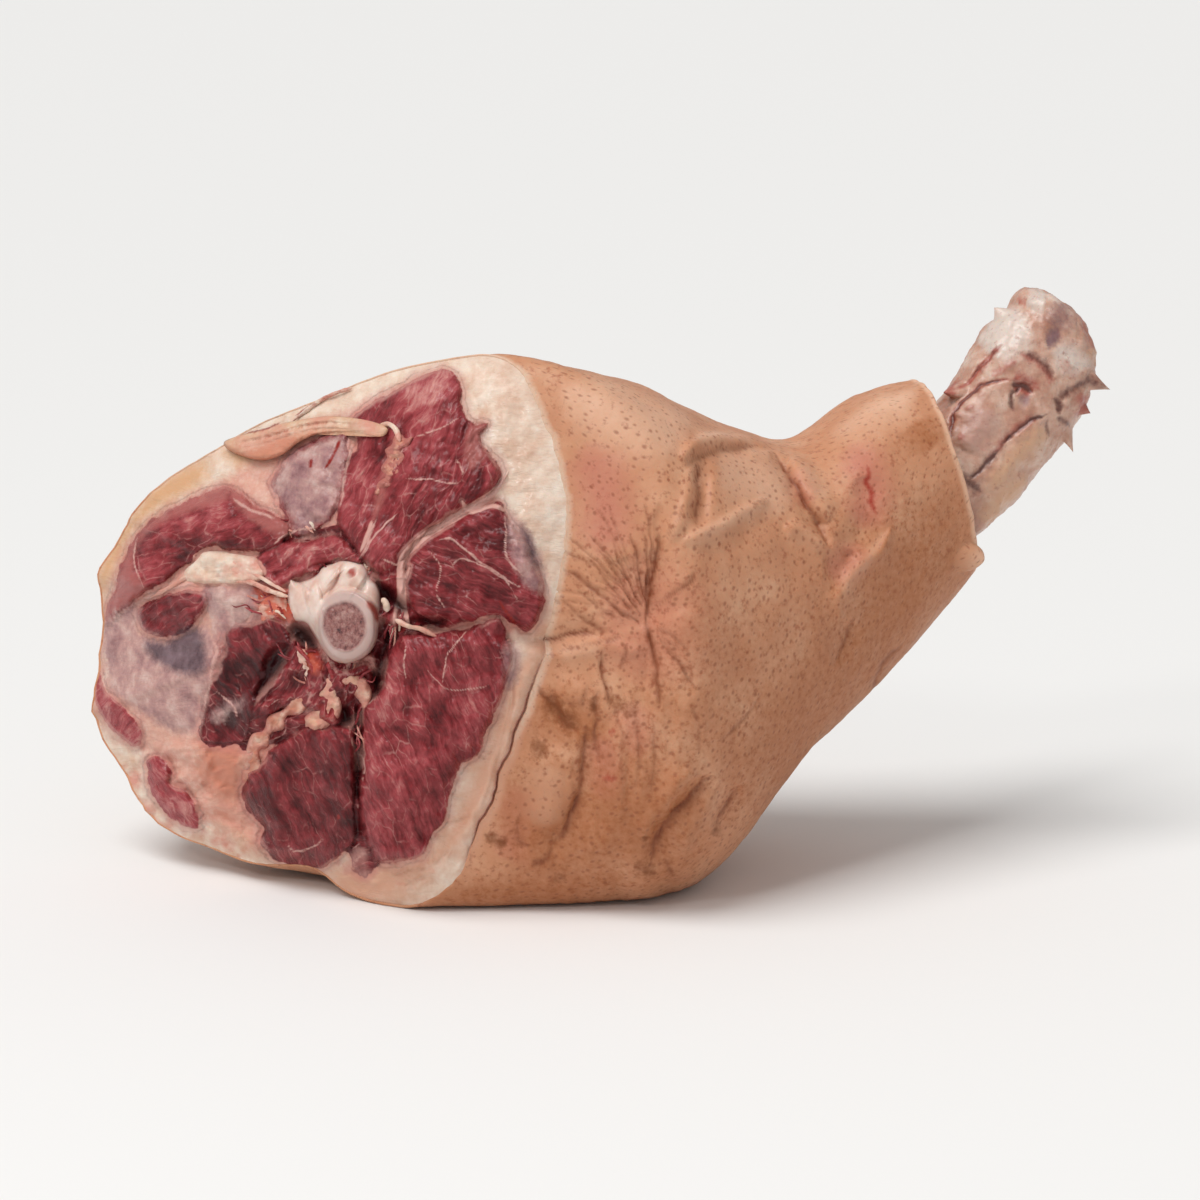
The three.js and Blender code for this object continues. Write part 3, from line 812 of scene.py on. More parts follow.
# %% Relief and attributes of the rind
def rind_fields(points, around):
    """Relief in millimetres towards the eye, and the attributes that the rind's material reads."""
    places = seen(points)
    facing = smooth(-np.sin(around), 0.0, 0.3)
    values = {key: np.zeros(len(points)) for key in ("crease", *PATCHES)}
    rise = np.zeros(len(points))
    moved = places + shaken(places, 18, 2, (3, 4), 4)
    for half, depth, path in FOLDS:
        rise -= depth * stroke(moved, path, half)
    moved = places + shaken(places, 11, 2, (13, 14), 2.2)
    broken = 0.7 + 0.3 * smooth(flat_hills(places, 7, 2, seed=19), -0.4, 0.2)
    for half, depth, brown, path in [*CREASES, *fan_of_wrinkles()]:
        groove = stroke(moved, path, half) * broken
        beside = stroke(moved, path, SHOULDER_WIDTH * half)
        rise -= depth * (groove - SHOULDER * beside)
        # brown painted into each crease and its shoulders: partly the fold's own colour, partly painted shade
        raise_to(values, "crease", brown * np.maximum(groove, 0.35 * beside) * facing)
    across, down = places.T
    upright = np.column_stack([across * PIXEL, down * PIXEL / 6, 0 * rise])
    band = smooth(down, *BAND_TOP) * (1 - smooth(across, *BAND_RIGHT)) * smooth(across, *BAND_LEFT)
    rise += BAND_DEPTH * band * hills(upright, 8, 2, seed=5)
    for key, patches in PATCHES.items():
        for strength, half, path in patches:
            raise_to(values, key, strength * stroke(places, path, half) * facing)
    return rise * facing, values


# %% [markdown]
# The rim is where the knife went through the rind, and it shows as a thin rounded edge. The open end round
# the hock has one too. A Solidify modifier would give both an edge, but here they differ in thickness, so
# each gets half a circle of rings. Both ends are then closed inside, where the meat and the hock hide them.

# %% Sizes of the rind
RIND_AROUND = 400
RIND_ALONG = 230
NEAR_SIDE = 0.75                    # share of a turn where the grid is finest
FINER = 0.62
RIM_EDGE = 0.7                      # radius of the rind's cut edge
SLEEVE_EDGE = 1.7
UNEVEN = 0.007                      # how far the cut edge wanders, as a share of the leg's length
SLEEVE_UNEVEN = 0.003
# Hidden rings that close the rind inside: how far along the leg, and how many millimetres further in.
START_RINGS = ((0.1, 26), (0.04, 19), (0.012, 11))
END_RINGS = ((0.008, 4), (0.03, 8))
# A roll of fat with a groove to the rind beside it, at the lower right: degrees, half width and strength.
LIP = [(226, 14, 1.0), (250, 14, 1.0)]
# A lip of skin at the open end: where, to where, half sizes, how far out and how sharp.
SKIN_LIP = ((968, 559), (984, 562), 8.0, 9.0, 2.0, 0.5)
# The open end: degrees from the top through the far side, and how far along the leg the rind ends there.
SLEEVE_CUT = [
    (0, 0.95), (60, 0.955), (120, 0.97), (180, 0.978), (210, 0.975), (255, 0.966), (285, 0.955),
    (315, 0.947), (360, 0.95),
]


# %% The rind's surface
def grid_angles(count):
    """Angles in radians, closer together on the near side: a turn of c less a sine that slows it there."""
    turn = np.arange(count) / count
    return 2 * np.pi * turn - FINER * np.sin(2 * np.pi * (turn - NEAR_SIDE))


def rim_start(around):
    """Where the rind begins at each angle, as a share of the leg's length: the knife's line isn't even."""
    circle = 90 * np.column_stack([np.cos(around), np.sin(around), 0 * around])
    return UNEVEN * (1 + hills(circle, 16, 3, seed=41))


def sleeve_end(around):
    """Where the rind ends at each angle, as a share of the leg's length: the skin was cut askew."""
    circle = 50 * np.column_stack([np.cos(around), np.sin(around), 0 * around])
    cut = np.interp(np.degrees(around) % 360, *np.array(SLEEVE_CUT).T)
    return cut + SLEEVE_UNEVEN * hills(circle, 14, 2, seed=42)


def rind_surface(along, around):
    """The rind with its swells and folds, and its attributes, for arrays of places on the leg."""
    start, end = rim_start(around), sleeve_end(around)
    along = start + (end - start) * along
    points = leg_point(along, around)
    rise, values = rind_fields(points, around)
    outward = unit(points - through(MIDDLES, along))
    swell = 1.3 * hills(points, 45, 2, seed=1) + 0.4 * hills(points, 11, 3, seed=2)
    swell = swell * (0.25 + 0.75 * smooth(along, 0.0, 0.06))
    swell += bells(around, RIM_STEPS) * np.clip(1 - along / STEP_REACH, 0, 1) ** 2
    points = points + outward * swell[:, None]
    return rested(lifted(points + outward * (0.5 * rise)[:, None], 0.6 * rise)), values


def edge_rows(ring, middle, forward, radius, inner_first):
    """Half a circle of rings round an open edge: inwards by 1 - cos and forwards by sin of its angle."""
    bend = np.radians([170, 130, 90, 50, 20] if inner_first else [20, 50, 90, 130, 170])[:, None, None]
    inward = unit(middle - ring)
    return ring + radius * ((1 - np.cos(bend)) * inward + np.sin(bend) * forward)


# %% Grid of the rind, with rows evenly spaced along its near side
around = grid_angles(RIND_AROUND)
steps = np.linspace(0, 1, 60)
near_line = leg_point(steps, np.full(60, 1.5 * np.pi))
length = np.append(0, np.cumsum(np.linalg.norm(np.diff(near_line, axis=0), axis=1)))
even = np.interp(np.linspace(0, length[-1], RIND_ALONG), length, steps)
along, angle = (grid.ravel() for grid in np.meshgrid(even, around, indexing="ij"))
skin_points, skin_values = rind_surface(along, angle)
skin_rows = skin_points.reshape(RIND_ALONG, RIND_AROUND, 3)
print(f"the rind is {length[-1]:.0f} mm long on its near side")

# %% Ends of the rind
leg_start, leg_end = np.array(MIDDLES[0], float), np.array(MIDDLES[-1], float)
start_way = unit(through(MIDDLES, np.array([0.02]))[0] - leg_start)
end_way = unit(leg_end - through(MIDDLES, np.array([0.98]))[0])
inner_start = [rested(leg_point(np.full(RIND_AROUND, share), around, inset)) for share, inset in START_RINGS]
inner_end = [leg_point(sleeve_end(around) - back, around, inset) for back, inset in END_RINGS]
rim_edge = edge_rows(skin_rows[0], leg_start, -start_way, RIM_EDGE, True)
sleeve_edge = edge_rows(skin_rows[-1], skin_rows[-1].mean(0), end_way, SLEEVE_EDGE, False)
all_rows = np.concatenate([inner_start, rim_edge, skin_rows, sleeve_edge, inner_end])
all_rows = drawn_out(all_rows, *SKIN_LIP)
all_rows[..., 2] = np.maximum(all_rows[..., 2], 0)
body = closed(through(MIDDLES, np.array([0.14])), all_rows, through(MIDDLES, np.array([0.88])))
print(len(all_rows), "rings of", RIND_AROUND, "points")

# %% [markdown]
# Pores have to stay round and evenly spaced wherever the leg is thick or thin. An unwrapped UV map would
# need seams and stretch, and this body's grid gives one for nothing: the millimetres walked round each ring
# from the near side, and across the rings from the rim.

# %% Map and colours of the rind
plain_rows = leg_point(along, angle).reshape(skin_rows.shape)
ringwise = np.roll(plain_rows, -1, 1) - plain_rows
hops = np.linalg.norm(ringwise, axis=2)
stride = np.diff(plain_rows, axis=0, prepend=plain_rows[:1])
aside = (stride * ringwise).sum(-1) / hops
ahead = np.sqrt(np.maximum((stride**2).sum(-1) - aside**2, 0))
near_column = np.argmin(np.abs(around - 1.5 * np.pi))
around_map = np.cumsum(hops, 1) - hops
around_map = around_map - around_map[:, near_column : near_column + 1]
around_map[:, around < np.pi] += hops.sum(1, keepdims=True)
around_map += np.cumsum(aside[:, near_column])[:, None]
along_map = np.cumsum(ahead, 0)

rim_gap = np.linalg.norm(skin_rows - skin_rows[:1], axis=-1).ravel()
end_gap = np.linalg.norm(skin_rows - skin_rows[-1:], axis=-1).ravel()
lip_gap = np.linalg.norm(skin_points - seen_at(skin_points, SKIN_LIP[0]), axis=-1)
edge_glow = bells(angle, LIP) * bell(rim_gap, 3.0)
skin_values["cream"] = smooth(np.cos(angle + 0.5), -0.35, 0.25) * 5.5 - 5 - rim_gap
raise_to(skin_values, "bloom", 0.9 * edge_glow)
for strength in (1.4 * bell(end_gap, 1.8), 0.8 * edge_glow, 1.5 * bell(lip_gap, 7)):
    raise_to(skin_values, "pale", strength)
behind_fewer = 0.75 + 0.25 * smooth(-np.sin(angle), -0.2, 0.4)
shin_fewer = 1 - 0.35 * smooth(along, 0.6, 0.9)
skin_values["pores"] = smooth(rim_gap, 3, 14) * behind_fewer * shin_fewer
print(f"the map is {np.ptp(around_map):.0f} by {np.ptp(along_map):.0f} mm")


# %% Rind
def spread(value, before, after):
    """A value of the outer rows, repeated from the nearest of them over the rows that close both ends."""
    rows = value.reshape(RIND_ALONG, RIND_AROUND)
    whole = np.concatenate([np.repeat(rows[:1], before, 0), rows, np.repeat(rows[-1:], after, 0)])
    return np.concatenate([whole.ravel(), [0, 0]])


rows_before = len(inner_start) + len(rim_edge)
rows_after = len(sleeve_edge) + len(inner_end)
make(
    "rind", [body], rind_skin, ["rind_and_fat"],
    {key: spread(value, rows_before, rows_after) for key, value in skin_values.items()},
    np.column_stack([spread(part, rows_before, rows_after) for part in (around_map, along_map)]),
)

# %% [markdown]
# ## Cut face
# The cut crosses a dozen muscles. Each could be a mesh of its own, but they have grown together, so they
# are pillows on one face: a muscle's height follows a quarter circle over the first millimetres from its
# outline, which rounds its edge and leaves a crevice between two of them. The outlines are listed below.
# The fibres of a muscle run at one angle, bent a little by noise.

# %% Muscles
# Rise and rounding in millimetres, fibre angle in degrees from the right, tone, and outline in the picture.
# The darker tone of the muscle beside the bone is painted shade of its hollow.
MUSCLES = {
    "upper right": (7, 8, 62, 0.02, [
        (432, 372), (452, 374), (461, 390), (463, 410), (472, 424), (487, 424), (480, 440), (491, 455),
        (502, 469), (496, 486), (464, 507), (438, 523), (415, 541), (400, 562), (385, 576), (368, 566),
        (345, 536), (338, 512), (346, 470), (357, 444), (352, 420), (378, 400),
    ]),
    "right middle": (7, 8, 158, -0.01, [
        (500, 503), (509, 522), (526, 540), (538, 564), (543, 590), (541, 613), (529, 631), (512, 624),
        (497, 614), (462, 624), (435, 626), (412, 612), (404, 586), (407, 560), (421, 541), (447, 525),
        (474, 511),
    ]),
    "lower right": (8, 10, 112, 0.02, [
        (402, 634), (388, 654), (379, 690), (362, 708), (363, 730), (361, 770), (358, 796), (361, 824),
        (369, 850), (383, 864), (420, 857), (430, 837), (446, 820), (447, 803), (461, 768), (479, 749),
        (491, 721), (503, 692), (512, 668), (510, 646), (499, 619), (470, 628), (436, 635),
    ]),
    "bottom middle": (8, 9, 115, -0.05, [
        (355, 732), (356, 800), (353, 840), (333, 861), (312, 868), (290, 866), (262, 846), (264, 826),
        (247, 811), (242, 792), (249, 776), (262, 762), (272, 748), (294, 734), (322, 726),
    ]),
    "upper left": (7, 7, 20, 0.0, [
        (105, 621), (112, 596), (125, 557), (139, 532), (163, 514), (187, 502), (211, 490), (230, 488),
        (248, 500), (262, 510), (288, 523), (284, 540), (267, 552), (239, 551), (201, 549), (192, 563),
        (172, 575), (155, 588), (138, 598), (126, 607),
    ]),
    "left oval": (5, 5, 35, -0.04, [
        (137, 620), (141, 606), (163, 597), (187, 590), (205, 591), (207, 603), (197, 619), (183, 632),
        (161, 638), (145, 631),
    ]),
    "beside the bone": (3, 6, 125, -0.09, [
        (228, 630), (253, 623), (276, 619), (291, 637), (290, 650), (270, 683), (257, 703), (244, 742),
        (210, 742), (200, 733), (205, 706), (208, 690), (222, 662),
    ]),
    "far left strip": (3, 4, 60, 0.13, [
        (94, 632), (99, 660), (104, 688), (118, 702), (137, 722), (142, 741), (131, 744), (106, 724),
        (96, 705), (92, 665),
    ]),
    "bottom left": (4, 5, 120, 0.12, [
        (147, 762), (161, 758), (170, 768), (170, 782), (186, 790), (195, 807), (199, 827), (182, 825),
        (164, 808), (149, 789),
    ]),
    "under the upper fat": (3, 4, 150, -0.02, [
        (294, 450), (345, 430), (345, 470), (335, 512), (322, 526), (298, 538), (286, 522), (280, 504),
        (272, 486), (280, 466),
    ]),
    "above the bone": (4, 5, 30, 0.05, [
        (258, 556), (284, 542), (310, 538), (338, 534), (362, 562), (340, 560), (318, 570), (296, 582),
        (276, 590), (262, 574),
    ]),
    "right of the bone": (3, 5, 100, -0.03, [
        (376, 574), (404, 560), (410, 584), (414, 606), (432, 622), (404, 634), (382, 668), (372, 660),
        (380, 630), (386, 604),
    ]),
    "under the bone": (3, 5, 60, -0.04, [
        (292, 640), (318, 650), (340, 668), (368, 662), (378, 690), (356, 716), (330, 726), (300, 704),
        (268, 716), (250, 712), (276, 676),
    ]),
}
TORN_MUSCLES = ("far left strip", "bottom left", "above the bone", "right of the bone", "under the bone")
DEEP_MUSCLE = "beside the bone"
print(len(MUSCLES), "muscles")

# %% What lies between the muscles
# Where the lean as a whole ends.
LEAN_EDGE = [
    (432, 369), (455, 371), (465, 388), (467, 407), (475, 420), (491, 422), (486, 440), (496, 455),
    (505, 466), (503, 484), (511, 506), (517, 527), (532, 544), (544, 566), (549, 592), (546, 613),
    (533, 635), (514, 650), (516, 670), (505, 694), (496, 722), (483, 752), (466, 770), (452, 806),
    (450, 822), (433, 841), (423, 861), (383, 868), (360, 866), (334, 865), (314, 871), (288, 869),
    (256, 856), (226, 840), (196, 832), (163, 814), (141, 787), (128, 748), (106, 730), (97, 706),
    (94, 668), (97, 620), (108, 590), (120, 556), (136, 528), (160, 508), (190, 488), (225, 466),
    (262, 440), (330, 405), (385, 383),
]
# Torn red meat that fills the gaps round the bone and in the crevices.
CORE = [
    (256, 556), (290, 534), (340, 528), (372, 556), (404, 548), (416, 580), (424, 622), (404, 660),
    (376, 700), (370, 780), (376, 860), (352, 868), (338, 800), (342, 736), (300, 742), (262, 748),
    (225, 748), (200, 736), (204, 690), (222, 632), (258, 614), (250, 580),
]
# Seams of fat and sinew between muscles: half width and rise in millimetres, and path.
SEAMS = [
    (2.2, 1.8, [
        (508, 474), (492, 494), (468, 510), (441, 526), (417, 543), (402, 562), (402, 600), (410, 626),
    ]),
    (1.2, 1.4, [(462, 500), (470, 512), (492, 506), (506, 512)]),
    (1, 1, [(410, 566), (398, 600), (392, 640)]),
    (0.9, 1, [(372, 520), (368, 534), (360, 552)]),
]
print(len(SEAMS), "seams")

# %% Areas, lines and tones of the cut face
# Outlines of what else lies on the face, by attribute.
AREAS = {
    "warm": [
        [
            (560, 610), (556, 650), (534, 676), (520, 720), (500, 778), (470, 834), (410, 890), (350, 905),
            (336, 866), (430, 850), (470, 772), (500, 700), (530, 640),
        ],
        [(204, 738), (244, 750), (238, 800), (258, 842), (240, 846), (214, 812), (200, 780)],
    ],
    "silver": [
        [
            (136, 603), (104, 621), (99, 640), (104, 664), (110, 690), (124, 702), (143, 714), (171, 731),
            (192, 733), (200, 719), (206, 688), (216, 650), (206, 624), (184, 636), (160, 642), (140, 632),
        ],
        [
            (292, 452), (343, 436), (344, 470), (334, 512), (318, 524), (300, 534), (290, 520), (282, 502),
            (272, 488), (280, 468),
        ],
        [(509, 510), (526, 530), (540, 560), (545, 592), (530, 590), (516, 570), (508, 540)],
        [(506, 640), (520, 650), (518, 676), (508, 690), (504, 664)],
        [
            (211, 718), (216, 708), (223, 707), (229, 699), (236, 702), (244, 698), (240, 709), (230, 712),
            (222, 722),
        ],
        [(204, 588), (226, 586), (254, 584), (262, 604), (248, 622), (226, 632), (212, 640), (208, 612)],
    ],
    "blue": [
        [(146, 640), (168, 640), (196, 626), (206, 650), (204, 672), (182, 674), (160, 664), (146, 652)],
        [(522, 526), (530, 534), (538, 556), (538, 568), (530, 562), (524, 545)],
    ],
    "cartilage": [
        [(199, 552), (236, 553), (258, 559), (266, 574), (246, 583), (206, 584), (188, 576), (192, 562)],
    ],
    "pink": [
        [(148, 592), (172, 582), (200, 572), (206, 584), (176, 592), (152, 602)],
        [(206, 584), (262, 582), (274, 612), (244, 626), (222, 644), (212, 640), (208, 610)],
    ],
    "orange": [
        [(262, 742), (280, 726), (300, 716), (292, 728), (272, 744), (262, 764)],
        [(378, 494), (386, 470), (388, 446), (400, 436), (407, 442), (400, 462), (396, 482), (384, 496)],
        [(204, 742), (246, 744), (240, 770), (238, 800), (214, 790), (202, 768)],
    ],
    "ember": [
        [(254, 588), (272, 586), (290, 592), (298, 608), (290, 622), (270, 616), (256, 606)],
        [(306, 650), (316, 656), (322, 668), (314, 674), (306, 664)],
    ],
    "tan": [
        [
            (152, 486), (180, 470), (208, 462), (200, 486), (164, 506), (140, 526), (122, 556), (104, 590),
            (98, 570), (124, 524),
        ],
        [(226, 452), (256, 450), (286, 438), (272, 456), (240, 464)],
    ],
    "rosy": [
        [
            (139, 532), (163, 513), (187, 501), (211, 490), (230, 488), (226, 500), (192, 512), (166, 522),
            (142, 540), (134, 558), (136, 574), (146, 588), (126, 606), (106, 620), (112, 596), (125, 557),
        ],
        [(232, 488), (262, 508), (290, 522), (286, 538), (256, 524), (232, 502)],
        [(470, 426), (486, 426), (478, 442), (486, 456), (470, 470), (464, 450)],
        [(394, 436), (402, 440), (392, 470), (384, 500), (374, 520), (378, 484)],
    ],
    # Painted shade: near black over the hollows and crevices, which are also carved.
    "dark": [
        [(270, 652), (288, 646), (285, 666), (272, 682), (256, 696), (260, 680)],
        [(376, 580), (392, 590), (410, 608), (400, 614), (384, 600)],
        [(384, 626), (400, 632), (388, 656), (380, 690), (372, 690), (378, 650)],
        [(420, 618), (446, 618), (440, 628), (424, 624)],
        [(354, 708), (361, 712), (361, 745), (360, 775), (358, 796), (355, 775), (355, 740)],
        [(340, 704), (352, 702), (354, 722), (340, 724)],
        [(296, 622), (314, 634), (318, 650), (304, 648), (290, 634)],
    ],
}
# Fine lines by attribute: half width and relief in millimetres, and path.
LINES = {
    "tissue": [
        (0.5, 0.4, [(462, 417), (435, 430), (415, 439)]),
        (0.6, 0.6, [(455, 459), (462, 466), (463, 476)]),
        (0.7, 0.6, [(377, 514), (368, 542), (358, 560)]),
        (0.5, 0.4, [(450, 569), (462, 559), (480, 563), (499, 576), (518, 584), (534, 588)]),
        (0.6, 0.5, [(437, 542), (452, 540), (470, 553), (490, 568), (506, 580), (520, 602)]),
        (0.5, 0.4, [(505, 509), (506, 540), (508, 562), (527, 578)]),
        (0.4, 0.3, [(428, 546), (440, 566), (436, 590), (446, 610)]),
        (0.4, 0.3, [(406, 640), (404, 660), (404, 682)]),
        (0.4, 0.3, [(425, 668), (445, 688), (470, 688), (494, 686)]),
        (0.4, 0.3, [(441, 688), (449, 652), (477, 624)]),
        (0.5, 0.3, [(284, 843), (301, 851), (324, 840)]),
        (0.8, 0.9, [(230, 496), (254, 512), (280, 522)]),
        (0.5, 0.4, [(138, 533), (134, 558), (138, 575), (146, 589)]),
        (0.9, 0.9, [(126, 608), (150, 596), (176, 586), (202, 580)]),
        (0.9, 0.9, [(212, 640), (216, 650), (208, 684), (202, 718)]),
        (0.7, 0.6, [(354, 440), (346, 470), (340, 510)]),
        (0.7, 0.6, [(384, 426), (396, 430), (402, 446), (392, 476)]),
        (0.5, 0.4, [(358, 712), (372, 700), (384, 694)]),
        (0.7, 0.5, [(272, 548), (292, 532), (322, 526)]),
        (0.5, 0.5, [(402, 479), (430, 478), (460, 484)]),
        (0.5, 0.5, [(360, 560), (372, 540), (384, 524), (400, 512)]),
        (0.4, 0.4, [(380, 560), (396, 566), (406, 562)]),
        (0.6, 0.5, [(214, 690), (230, 704), (238, 720)]),
        (0.5, 0.4, [(348, 724), (352, 744), (364, 764), (362, 790)]),
    ],
    "blood": [
        (1.3, 0, [(311, 457), (308, 468)]),
        (1.5, 0, [(338, 390), (346, 387)]),
        (1.6, 0, [(381, 374), (388, 371)]),
        (1.2, 0, [(244, 435), (262, 429), (280, 424)]),
        (1, 0, [(292, 418), (316, 403), (334, 392)]),
        (1.6, 0, [(262, 600), (278, 606), (284, 616)]),
        (1, 0, [(336, 814), (339, 820)]),
        (1, 0, [(498, 600), (506, 612), (518, 626)]),
        (1, 0, [(322, 470), (336, 452), (342, 440)]),
    ],
}
# Lighter and darker places of the lean: tone, half width in millimetres, and path. The light bands along the
# top of the upper right muscle are painted highlights, and the dark strokes beside the crevices at the bone
# and in the lower middle are painted shade.
TONES = [
    (0.16, 12, [(394, 398), (440, 388), (452, 396)]),
    (0.06, 14, [(400, 440), (440, 440), (470, 440)]),
    (0.10, 5, [(366, 452), (352, 490), (350, 520)]),
    (-0.10, 9, [(480, 462), (470, 480), (440, 500)]),
    (-0.07, 8, [(400, 545), (430, 515)]),
    (0.05, 8, [(470, 560), (490, 580)]),
    (-0.03, 12, [(300, 760), (290, 830)]),
    (-0.06, 6, [(345, 740), (350, 800), (345, 850)]),
    (-0.05, 10, [(256, 790), (270, 840)]),
    (0.08, 9, [(470, 660), (480, 700), (450, 750)]),
    (0.10, 6, [(395, 660), (385, 720), (372, 780)]),
    (-0.05, 9, [(430, 700), (440, 760), (420, 800)]),
    (0.05, 10, [(400, 840), (430, 820)]),
    (0.10, 7, [(150, 540), (190, 514), (240, 510)]),
    (-0.08, 7, [(160, 570), (210, 545), (262, 546)]),
    (-0.10, 12, [(240, 650), (236, 700), (220, 730)]),
    (-0.06, 9, [(190, 606), (170, 622)]),
    (-0.10, 7, [(300, 660), (330, 680), (350, 700)]),
]
# Creases in the fat: half width and depth in millimetres, and path.
FAT_CREASES = [
    (1.4, 1.4, [(511, 664), (512, 700), (506, 730), (496, 770), (486, 800), (478, 822)]),
    (1.2, 1, [(534, 640), (540, 638), (550, 640)]),
    (1.5, 1.2, [(476, 752), (486, 758)]),
    (1.3, 1.2, [(449, 790), (456, 797), (468, 800)]),
    (1.3, 1.4, [(392, 876), (412, 868), (432, 866), (450, 850)]),
    (1.2, 1, [(404, 888), (424, 876), (440, 880)]),
    (1.2, 1.2, [(470, 742), (482, 750), (492, 752)]),
    (1.2, 1, [(444, 822), (456, 822), (470, 816)]),
    (7, -2.8, [(208, 796), (224, 820), (246, 842), (272, 856)]),
    (5, -2.4, [(164, 744), (182, 750), (200, 746)]),
    (5, -2.4, [(220, 750), (232, 764), (234, 784)]),
    (3, -1.8, [(172, 772), (184, 780), (190, 788)]),
    (1.8, 1.8, [(206, 744), (212, 764), (206, 784), (214, 798)]),
    (1.6, 1.4, [(150, 748), (170, 760), (190, 762)]),
    (2, 1.6, [(196, 800), (214, 826), (240, 850)]),
    (2, 1.5, [(206, 770), (224, 786), (232, 806)]),
    (2.4, 1.8, [(142, 742), (150, 752), (160, 758)]),
    (2, 1.5, [(244, 470), (262, 484), (290, 490)]),
    (1.6, 1, [(478, 360), (482, 372)]),
]


DEPTHS = ("lean", "ember", "silver", "blue", "cartilage", "pink", "orange", "tan", "warm", "rosy", "dark")
STRENGTHS = ("rim", "tissue", "blood", "tone")
print(sum(map(len, AREAS.values())), "areas and", sum(map(len, LINES.values())), "lines")


# %% Pillows of the muscles, and the seams between them
def blank(count):
    """The cut material's attributes for plain fat: far outside every outline, and no marks."""
    depths = {key: np.full(count, -FAR_OFF) for key in DEPTHS}
    return depths | {key: np.zeros(count) for key in STRENGTHS}


def dome(depth, rounding):
    """0 to 1 over the first millimetres inside an edge, like a quarter of a circle."""
    return np.sqrt(1 - (1 - np.clip(depth / rounding, 0, 1)) ** 2)


def lay_muscles(places, values, rise, wander, wobble):
    """Raises each muscle by height * sqrt(1 - (1 - depth / rounding)^2), and turns the fibre map for it."""
    lean = values["lean"]
    lean[:] = np.minimum(depth_in(places, CORE) + 2 * wander, 0.7)
    # The torn core starts darker: painted shade in the gaps between the muscles.
    values["tone"] = np.where(lean > -1, -0.12, 0.0)
    whole = np.full(len(places), -FAR_OFF)
    grain = places * PIXEL + wobble
    for name, (height, rounding, angle, shade, corners) in MUSCLES.items():
        depth = depth_in(places, corners) + wander
        rise[:] = np.maximum(rise, height * dome(depth, rounding))
        mine = depth > np.maximum(lean, -2)
        values["tone"][mine] = shade
        cos, sin = np.cos(np.radians(angle)), np.sin(np.radians(angle))
        turned = ((places - np.mean(corners, 0)) * PIXEL + wobble) @ np.array([[cos, sin], [-sin, cos]])
        grain[mine] = turned[mine] + 97 * angle
        lean[:] = np.maximum(lean, depth)
        if name not in TORN_MUSCLES:
            whole = np.maximum(whole, depth)
    return whole, grain


def lay_seams(places, values, rise, wobble):
    """Raises each seam in a bell of the distance to it, and takes it out of the lean."""
    lean, tissue = values["lean"], values["tissue"]
    for half, height, path in SEAMS:
        curve = through(path, np.linspace(0, 1, 6 * len(path)))
        close = near(places, curve)
        gap, share = to_path(places[close] + wobble[close] / 2, curve)
        width = half * np.sqrt(np.clip(6 * np.minimum(share, 1 - share), 0.01, 1))
        lean[close] = np.minimum(lean[close], gap - width)
        tissue[close] = np.maximum(tissue[close], 1.2 * smooth(width - gap, -0.6, 1.0))
        rise[close] += height * bell(gap, width)


print("a dome's height at a tenth of its rounding:", dome(0.1, 1).round(2))

# %% [markdown]
# Lean has fine streaks along its fibres and broad waves. The fat at the lower left is torn, and so is the
# meat round the bone: there ridges of noise, 1 less its size, make the edges of rags.

# %% Relief of the lean, the fat and the torn core
TORN_ROWS = (720, 770)              # rows and columns of the picture over which the torn fat comes and goes
TORN_COLUMNS = (250, 330)
LOWER_ROWS = (780, 850)


def ridges(rough, sharp):
    """Noise turned into ridges: 1 along the lines where it is 0, falling to -1 beside them."""
    return np.clip(1 - sharp * np.abs(rough), -1, 1)


def roughen_lean(places, values, rise, grain):
    """Adds streaks along the fibres, waves and knots to the lean, and tells where it is, from 0 to 1."""
    on_lean = smooth(values["lean"], 0.0, 3.0)
    streaks = hills(np.column_stack([grain[:, 0] / 5, grain[:, 1], 0 * rise]), 3.4, 2, seed=10)
    waves, knots = flat_hills(places, 24, 2, seed=11), flat_hills(places, 7, 3, seed=6)
    rise += on_lean * (0.8 * streaks + 3.0 * waves + 1.1 * knots)
    # The tone follows the same streaks, waves and knots: painted light on what stands up, painted shade in
    # the dips.
    values["tone"] += on_lean * (0.05 * streaks + 0.05 * waves + 0.06 * knots)
    return on_lean


def roughen_fat(places, values, rise, on_fat, wobble):
    """Adds hills to the fat, rags of torn fat at the lower left, and orange and pink stains."""
    across, down = places.T
    torn_side = smooth(down, *TORN_ROWS) * (1 - smooth(across, *TORN_COLUMNS))
    torn_side = np.maximum(torn_side, 0.6 * smooth(down, *LOWER_ROWS))
    rise += on_fat * (1.0 + 1.4 * torn_side) * flat_hills(places, 13, 3, seed=12)
    rags = ridges(flat_hills(places + 2 * wobble, 12, 3, seed=26), 2.2) * torn_side
    rise += 1.5 * on_fat * rags
    raise_to(values, "orange", -6 * rags - 4 - 8 * (1 - torn_side))
    raise_to(values, "pink", 9 * (flat_hills(places, 11, 3, seed=16) - 0.35) - 12 * (1 - torn_side))
    raise_to(values, "pink", np.minimum(depth_in(places, LEAN_EDGE) - 7, 2))


def roughen_core(places, values, rise, whole, wobble):
    """Adds ridges, pale threads and blood to the torn meat round the bone, outside the whole muscles."""
    torn = smooth(depth_in(places, CORE), 0, 3) * (1 - smooth(whole, -2.0, 0.5))
    web = ridges(flat_hills(places + 2 * wobble, 15, 3, seed=17), 2.4)
    rise += torn * 2.0 * web
    # The tone follows the ridges: painted light on them, painted shade between them.
    values["tone"] += torn * 0.07 * web
    raise_to(values, "tissue", 0.55 * torn * smooth(web, 0.7, 1.0))
    raise_to(values, "blood", 0.6 * torn * smooth(flat_hills(places, 14, 2, seed=18), 0.2, 0.7))


print("ridges of 0, 0.5 and 1:", ridges(np.array([0, 0.5, 1]), 2.0))


